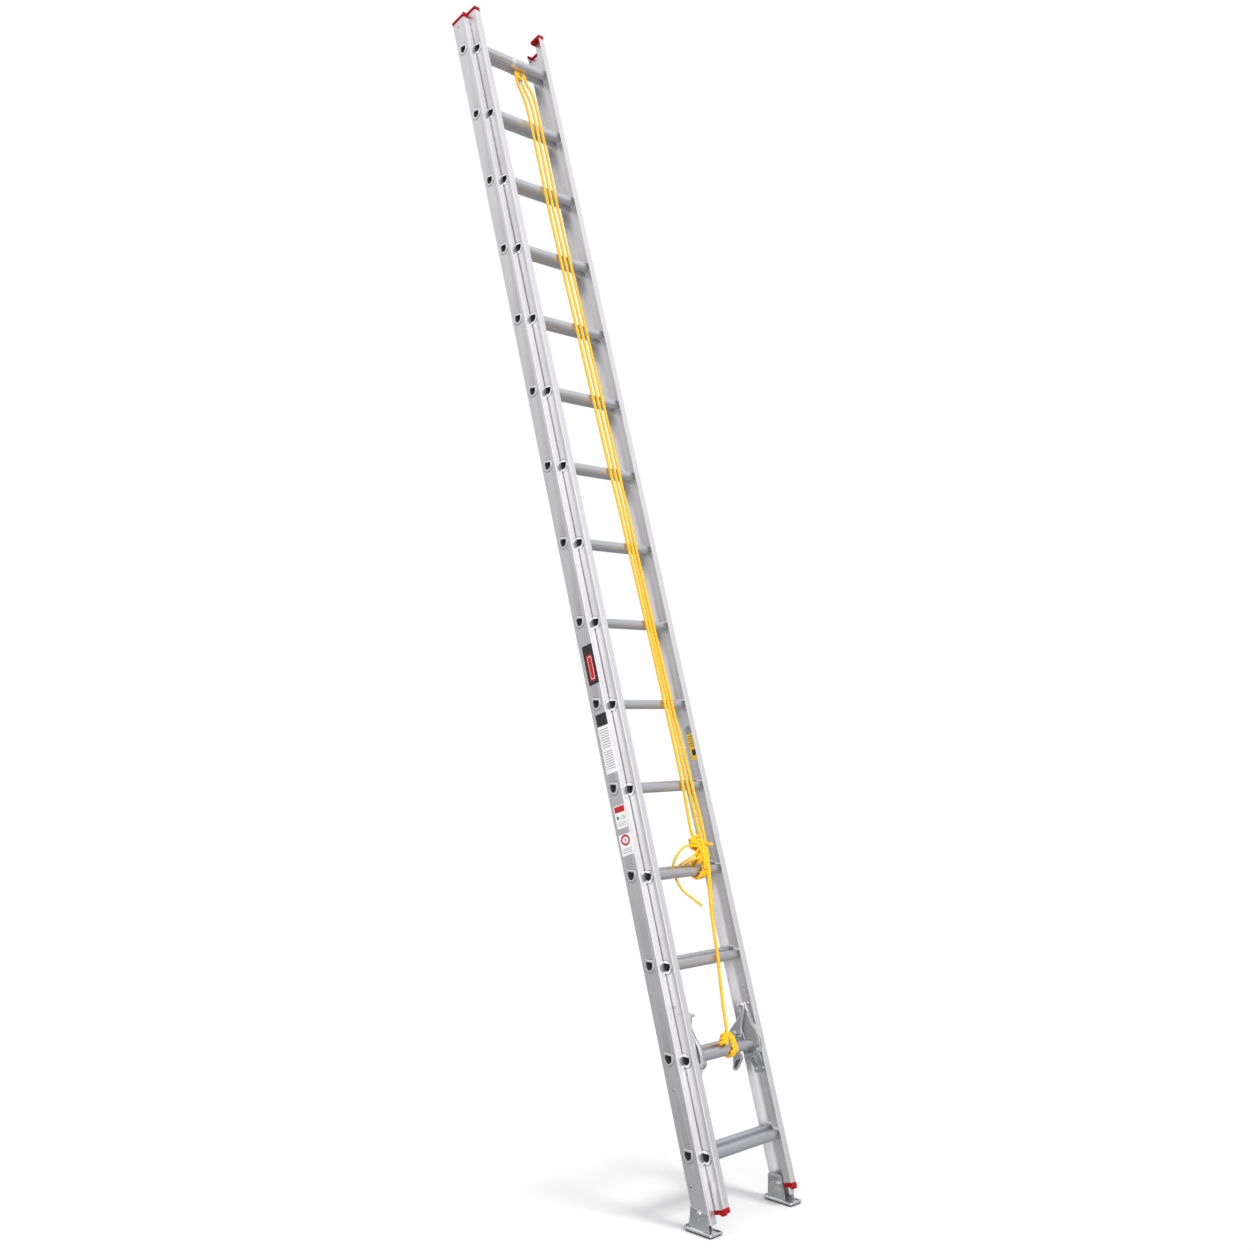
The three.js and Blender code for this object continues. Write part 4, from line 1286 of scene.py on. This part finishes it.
def bolt_mesh():
    """The shoe's bolt: a hexagon head on a washer outside, a nut with the thread's end inside."""
    out, inside = OUTER_X - GAP, INNER_X + SHOE_PLATE + GAP
    shank = [(0, out - 1), (4.8, out - 1), (4.8, inside + 6.5), (3.9, inside + 7), (0, inside + 7)]
    washer = moved([(0, -1.3), (9.6, -1.3), (9.9, -0.9), (9.9, -0.1), (0, -0.1)], 0, out)
    crown = moved([(0, -5.6), (5.4, -5.3), (6.6, -4.8), (6.6, -4), (0, -4)], 0, out)
    hexagon = circle(8.2, count=6)
    head = prism([hexagon], "x", out - 5, out - 1.2, bevel=0.7)
    nut = prism([hexagon], "x", inside + 0.1, inside + 5.6, bevel=0.7)
    return painted(joined([lathe(shank, "x"), lathe(washer, "x"), head, lathe(crown, "x"), nut]), BRIGHT)


def add_shoes():
    both("shoe_pressing", shoe_mesh(), FEET, "foot_{side}", "galvanised_steel", "shoe_{side}")
    both("sole_pad", pad_mesh(), FEET, "foot_{side}", "sole_rubber", "shoe_pad_{side}")
    both("shoe_bolt_set", bolt_mesh(), FEET, "base", "galvanised_steel", "shoe_bolt_{side}")


# ---------------------------------------------------------------- rung locks, from the second fly rung

PIN_Y, PIN_Z = -5.0, 134.2
TONGUE_Y, TONGUE_Z = 44.5, 44.2
HINGE = (0, TONGUE_Y, TONGUE_Z)
BRACKET_BACK, BRACKET_FACE = -147.0, -143.0
HOOK_BACK, HOOK_FACE = -140.2, -133.4
TONGUE_BACK, TONGUE_FACE = -129.0, -124.4


def bracket_mesh():
    """The fixed casting: a plate with a deep front rim painted lighter as highlight, a saddle under the rung and a
    riveted foot.
    """
    outline = fillet([
        (PIN_Y + 9, PIN_Z - 3), (PIN_Y + 7, PIN_Z + 7), (PIN_Y, PIN_Z + 10), (PIN_Y - 7, PIN_Z + 7),
        (PIN_Y - 10, PIN_Z - 3),
        (-16.5, 118), (-17, 98), (-25, 66), (-40, 39), (-45, 10), (-41, -17), (-30, -35), (-15, -44),
        (8, -46), (24, -39),
        (29, -22), (28, 0), (27, 28), (27, 62), (12, 86), (3, 100), (-2, 114),
    ], [4, 4, 4, 4, 4, 8, 20, 24, 24, 24, 16, 14, 14, 14, 12, 12, 14, 14, 14, 14, 14, 8], 4)
    hole = rung_outline(GAP + 0.3)
    plate = prism([outline, hole], "x", BRACKET_BACK, BRACKET_FACE, bevel=0.9)
    section = [
        (-4.6, -148.6), (-3.6, -150.6), (-1.4, -151), (0, -149.6), (0, -143.6), (-1.2, -142.2),
        (-3.4, -142.2),
        (-4.6, -143.6),
    ]
    rim = band(outline, section, "x")
    front = [(-16, 112), (-17, 98), (-25, 66), (-40, 39), (-45, 10), (-41, -17), (-30, -34)]
    back = [(-24, -30), (-35, -15), (-38.5, 9), (-34, 36), (-19.5, 63), (-12, 96), (-11, 112)]
    shape = fillet(front + back, [1, 20, 24, 24, 24, 16, 2, 2, 16, 20, 20, 20, 16, 1], 4)
    flange = prism([shape], "x", -156.5, -141.8, bevel=1.4)
    collar = band(
        hole, [(0, -150), (2.2, -150.6), (5.4, -149.4), (5.4, -140.6), (2.2, -139.4), (0, -140)], "x"
    )
    under = fillet([
        (-38, -14), (-34, -30), (-17, -41), (8, -43), (22, -36), (27, -24), (20, -25), (8, -30), (-12, -29),
        (-26, -20),
    ], [3, 12, 14, 14, 10, 2, 3, 12, 10, 8], 4)
    saddle = prism([under], "x", -144, -126, bevel=2.2)
    web = -FLY_HALF + FLY_WEB + GAP
    profile = fillet([
        (-142.5, -28), (-142.5, -38), (-162, -79), (-163, -98), (web, -98), (web, -76), (-168, -74),
        (-149, -30),
    ], [1, 8, 8, 3, 1, 1, 8, 2])
    legs = [prism([profile], "y", low, high, bevel=1.6) for low, high in ((-26, -9), (12, 27))]
    flat = fillet([(-163.2, -76), (-163.2, -98.5), (web, -98.5), (web, -76)], [2.5, 4, 1, 1])
    foot = prism([flat], "y", -26.5, 27.5, bevel=2.2)
    rib = prism([fillet([(-145, -44), (-143, -40), (-161, -78), (-165, -80)], 1)], "y", -3, 1.5, bevel=0.6)
    feet = rivets([(-163.2, y, -86.5) for y in (-15, 18)], 1, 6.4, 3.4)
    body = painted(joined([plate, collar, saddle, *legs, foot]), LOCK_METAL)
    # rim, flange and rib in the lighter casting colour: a painted highlight
    bright = painted(joined([rim, flange, rib]), RIM_HIGHLIGHT)
    return joined([body, bright, *feet])


def pin_mesh():
    """The apex pin: a bright rod, a lump where the spring winds on it, and a small rounded end."""
    return painted(lathe([
        (0, -165), (4.6, -165), (5, -164.4), (5, -159), (8.4, -157.5), (9, -155), (9, -149), (7.4, -147.6),
        (7.4, -128.6),
        (8.6, -128), (9, -125.6), (7, -123.6), (5, -123), (4.4, -117), (3.4, -114.5), (4.6, -113),
        (4.9, -111), (3.4, -109.4),
        (0, -109),
    ], "x", (0, PIN_Y, PIN_Z)), BRIGHT)


def spring_mesh():
    coils, per_turn, start, pitch = 3, 18, -166.0, 2.5
    points = [(start, PIN_Y - 4, PIN_Z - 34), (start, PIN_Y - 7.4, PIN_Z - 12)]
    for i in range(coils * per_turn + 1):
        angle = math.pi + math.tau * i / per_turn
        points.append(
            (start + pitch * i / per_turn, PIN_Y + 7.2 * math.cos(angle), PIN_Z + 7.2 * math.sin(angle))
        )
    return wire(points, 1.1)


def hook_mesh():
    """The swinging hook: a plate with a rolled rim painted lighter as highlight, a mouth for the base rung and a round
    boss.
    """
    outline = fillet([
        (PIN_Y - 10, PIN_Z - 4), (PIN_Y - 8, PIN_Z + 7), (PIN_Y, PIN_Z + 11), (PIN_Y + 9, PIN_Z + 6),
        (6, 123), (9, 107),
        (27, 88), (58, 68), (71, 58), (80, 48), (84, 33), (81, 11), (72, 11), (70.5, 32), (61, 36.2),
        (29, 26.8), (22, 34), (18, 58),
        (-2, 98), (-13, 117),
    ], [5, 5, 5, 5, 6, 14, 24, 20, 12, 12, 14, 4.5, 4.5, 3, 3, 5, 10, 30, 30, 8], 5)
    hole = circle(7.8, PIN_Y, PIN_Z, 28)
    plate = prism([outline, hole], "x", HOOK_BACK, HOOK_FACE, bevel=1.0)
    section = [
        (-5, -139.6), (-4.2, -141), (-1, -141), (0, -140), (0, -132.4), (-1, -131.4), (-4.2, -131.4),
        (-5, -132.8),
    ]
    rim = band(outline, section, "x")
    boss = lathe([(0, -141), (12.5, -141), (12.5, -132.6), (10.5, -131), (6, -131), (0, -131)], "x", HINGE)
    stub = lathe([
        (0, -134), (4, -134), (4, -121.5), (6.4, -121.4), (7, -120.8), (6.4, -119.4), (3.6, -118.4),
        (0, -118.2),
    ], "x", HINGE)
    # the rim takes the lighter casting colour: a painted highlight
    return joined(
        [painted(joined([plate, boss]), LOCK_METAL), painted(rim, RIM_HIGHLIGHT), painted(stub, BRIGHT)]
    )


def tongue_mesh():
    """The hinged tongue: rounded below, with a raised rim painted light as highlight round a U slot painted dark as
    shade.
    """
    outline = fillet([
        (TONGUE_Y - 8, TONGUE_Z - 2), (TONGUE_Y - 6, TONGUE_Z + 6), (TONGUE_Y + 1, TONGUE_Z + 9), (76, 49),
        (88, 37), (94, 4),
        (87, -18), (76, -32), (84, -60), (89, -68), (87, -76), (79, -79.5), (69, -77), (61, -70), (41, -51),
        (34, -42),
        (38, -27), (56, -15), (70, -4), (74, 8), (71, 29), (63, 37.6), (47, 36.2),
    ], [5, 5, 6, 10, 12, 18, 14, 6, 10, 6, 5, 6, 5, 10, 10, 5, 6, 12, 10, 10, 8, 5, 5], 4)
    plate = prism([outline, circle(4.6, TONGUE_Y, TONGUE_Z, 24)], "x", TONGUE_BACK, TONGUE_FACE, bevel=0.8)
    section = [
        (-3.4, -128.4), (-2.8, -129.4), (-0.7, -129.4), (0, -128.6), (0, -123.4), (-0.7, -122.6),
        (-2.8, -122.6),
        (-3.4, -123.6),
    ]
    rim = band(outline, section, "x")
    slot = fillet([(47, -40), (44, -46), (72, -72), (81, -72), (80, -66), (68, -46)], [5, 5, 8, 4, 4, 8], 4)
    lip = band(slot, [(0, -123.2), (0, -124.6), (1.8, -124.6), (1.8, -123.2), (0.9, -122.6)], "x")
    # a thin sheet in the slot, painted dark as shade
    slot_shade = prism([grown(slot, -0.1)], "x", -124.6, -124.1)
    # the rim and the slot's lip take the lighter casting colour: a painted highlight
    return joined([painted(plate, LOCK_METAL), painted(joined([rim, lip]), RIM_HIGHLIGHT), painted(slot_shade, PAINTED_SHADE)])


def add_locks():
    both("lock_body", bracket_mesh(), LOCK, "fly", "lock_casting", "lock_bracket_{side}")
    both("lock_pin", pin_mesh(), LOCK, "fly", "galvanised_steel")
    both("lock_spring", spring_mesh(), LOCK, "fly", "galvanised_steel")
    both("lock_claw", hook_mesh(), LOCK, "hook_{side}", "lock_casting", "lock_hook_{side}")
    both("lock_finger", tongue_mesh(), LOCK, "tongue_{side}", "lock_casting", "lock_tongue_{side}")


# ---------------------------------------------------------------- pulley on the top base rung


def hanger_mesh():
    top = moved(rung_outline(GAP), 0, (RUNGS - 1) * PITCH)
    strap = band(top, both_ways([(0, -12), (0.4, -12.4), (1.3, -12.4), (1.6, -12)]), "x", PULLEY.x)
    side = [(-12, 52), (-17, 8), (-15, -14), (-7, -40)]
    shape = fillet(side + [(-x, z) for x, z in reversed(side)], [2, 9, 12, 5, 5, 12, 9, 2], 5)
    plate = prism([shape, circle(4.4, count=28), circle(4.5, 0, -33, 24)], "y", -20.1, -18.5, bevel=0.3)
    plate.transform(Matrix.Translation(Vector((PULLEY.x, 0, PULLEY.z)) * MM))
    return painted(joined([strap, plate]), STEEL)


def wheel_mesh():
    groove = PULLEY_ROPE - ROPE / 2 - GAP
    half = [
        (4.4, -4), (7.5, -4), (8, -3.2), (groove - 5, -3.2), (groove - 4.2, -4), (groove + 0.6, -4),
        (groove + 0.8, -3.6), (groove + 0.3, -2.4), (groove, -1.2),
    ]
    return painted(lathe(both_ways(half), "y", PULLEY, 48), SHEAVE)


def axle_mesh():
    back, front = -18.5 + GAP, PULLEY.y - 4 - GAP
    centre = (PULLEY.x, 0, PULLEY.z)
    face = [
        (0, -1.5), (3, -1.5), (3.4, -1.1), (4.6, -1.1), (5.2, -1.5), (9.2, -1.3), (10, -0.8), (10, 0), (0, 0)
    ]
    shank = lathe(rod(4, front - 0.5, back + 0.5), "y", centre)
    head = lathe(moved(face, 0, front), "y", centre, 40)
    tail = lathe(moved([(0, 0), (7, 0), (7, 1.4), (5.4, 2.4), (0, 2.5)], 0, back), "y", centre)
    return painted(joined([shank, head, tail]), LOCK_METAL)


def add_pulley():
    piece("pulley_strap", hanger_mesh(), LADDER, "base", "galvanised_steel", ["pulley_hanger"])
    piece("pulley_sheave", wheel_mesh(), LADDER, "pulley", "sheave_nylon", ["pulley_wheel"])
    piece("pulley_bolt", axle_mesh(), LADDER, "base", "galvanised_steel", ["pulley_axle"])
    top = Matrix.Translation(rung_centre("fly_rung_15")) @ TILT
    clip = band(rung_outline(0.05), both_ways([(0, -9), (0.3, -9.4), (0.9, -9.4), (1.1, -9)]), "x", -4)
    # the clip in the near-white aluminium: a painted highlight
    piece("top_rung_clip", painted(clip, HIGHLIGHT_ALUMINIUM), top, "fly", "rung_aluminium")


# ---------------------------------------------------------------- labels, with no lettering


def patch(face, box, ink, level):
    """A printed area on a rail's web, as (y low, z low, y high, z high); face is the web's x."""
    y0, z0, y1, z1 = box
    radius = min(2.5, 0.3 * min(y1 - y0, z1 - z0))
    outline = fillet([(y0, z0), (y1, z0), (y1, z1), (y0, z1)], radius, 3)
    return painted(prism([outline], "x", face - 0.16 - 0.06 * level, face - 0.02), INK[ink])


def printed_areas(face, areas):
    """Areas are (ink, level, box), or (ink, level, box, rows) for a block of bars, every third one short."""
    for ink, level, box, *rows in areas:
        if not rows:
            yield patch(face, box, ink, level)
            continue
        y0, z0, y1, z1 = box
        pitch = (z1 - z0) / rows[0]
        for i in range(rows[0]):
            end = y1 - (3 if i % 3 == 2 else 0)
            yield patch(face, (y0, z0 + pitch * (i + 0.3), end, z0 + pitch * (i + 0.62)), ink, level)


LABELS = {
    "maker_label": [
        ("black", 0, (-36, 1592, 16, 1737)), ("red", 1, (-24, 1606, 4, 1700)),
        ("white", 2, (-20, 1612, 0, 1694)),
        ("red", 3, (-18.5, 1614, -1.5, 1692)),
    ],
    "notice_label": [
        ("white", 0, (-37, 1271, 18, 1484)), ("black", 1, (-37, 1440, 18, 1484)),
        ("grey", 1, (-31, 1360, 12, 1432), 8), ("grey", 1, (-31, 1284, 12, 1352), 8),
    ],
    "care_label": [
        ("white", 0, (-34, 1077, 20, 1156)), ("red", 1, (-32, 1132, 17, 1153)),
        ("green", 1, (2, 1108, 14, 1120)),
        ("green", 1, (-28, 1104, -8, 1122), 3), ("grey", 1, (-28, 1084, 14, 1100), 3),
    ],
    "ring_label": [("white", 0, (-36, 983, 22, 1056)), ("grey", 1, (-30, 990, 16, 1008), 3)],
}
RING_CENTRE = [("grey", 1, (-11, 1029, -3, 1041))]
FLY_LABEL = [
    ("yellow", 0, (-24, 1315, 20, 1440)), ("grey", 1, (-24, 1412, 20, 1440)),
    ("black", 1, (-12, 1330, 10, 1352)),
    ("black", 1, (-19, 1362, 15, 1406), 5),
]


def add_labels():
    oval = [(-7 + 1.1 * y, 1035 + 0.95 * z) for y, z in circle(20)]
    ring = band(oval, [(-7.5, -0.26), (0, -0.26), (0, -0.02), (-7.5, -0.02)], "x", -BASE_HALF)
    for name, areas in LABELS.items():
        parts = list(printed_areas(-BASE_HALF, areas))
        if name == "ring_label":
            parts += [painted(ring, INK["red"]), *printed_areas(-BASE_HALF, RING_CENTRE)]
        piece(name, joined(parts), LADDER, "base", "rail_aluminium")
    fly_web = FLY_HALF - FLY_WEB
    piece("fly_label", joined(list(printed_areas(fly_web, FLY_LABEL))), FLY, "fly", "rail_aluminium")


add_camera()
add_knot()
add_rope()
add_rails()
add_rungs("base", "base", BASE_HALF, BASE_WEB, 2.8)
add_rungs("fly", "fly", FLY_HALF, FLY_WEB, 1.6)
add_caps()
add_shoes()
add_locks()
add_pulley()
add_labels()
add_floor()
add_light()

sizes = {"cad": [list(map(float, p)) for p in CAD_BOX], "visual": [list(map(float, p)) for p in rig.bounds()]}
with open("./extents.json", "w") as file:
    json.dump(sizes, file)
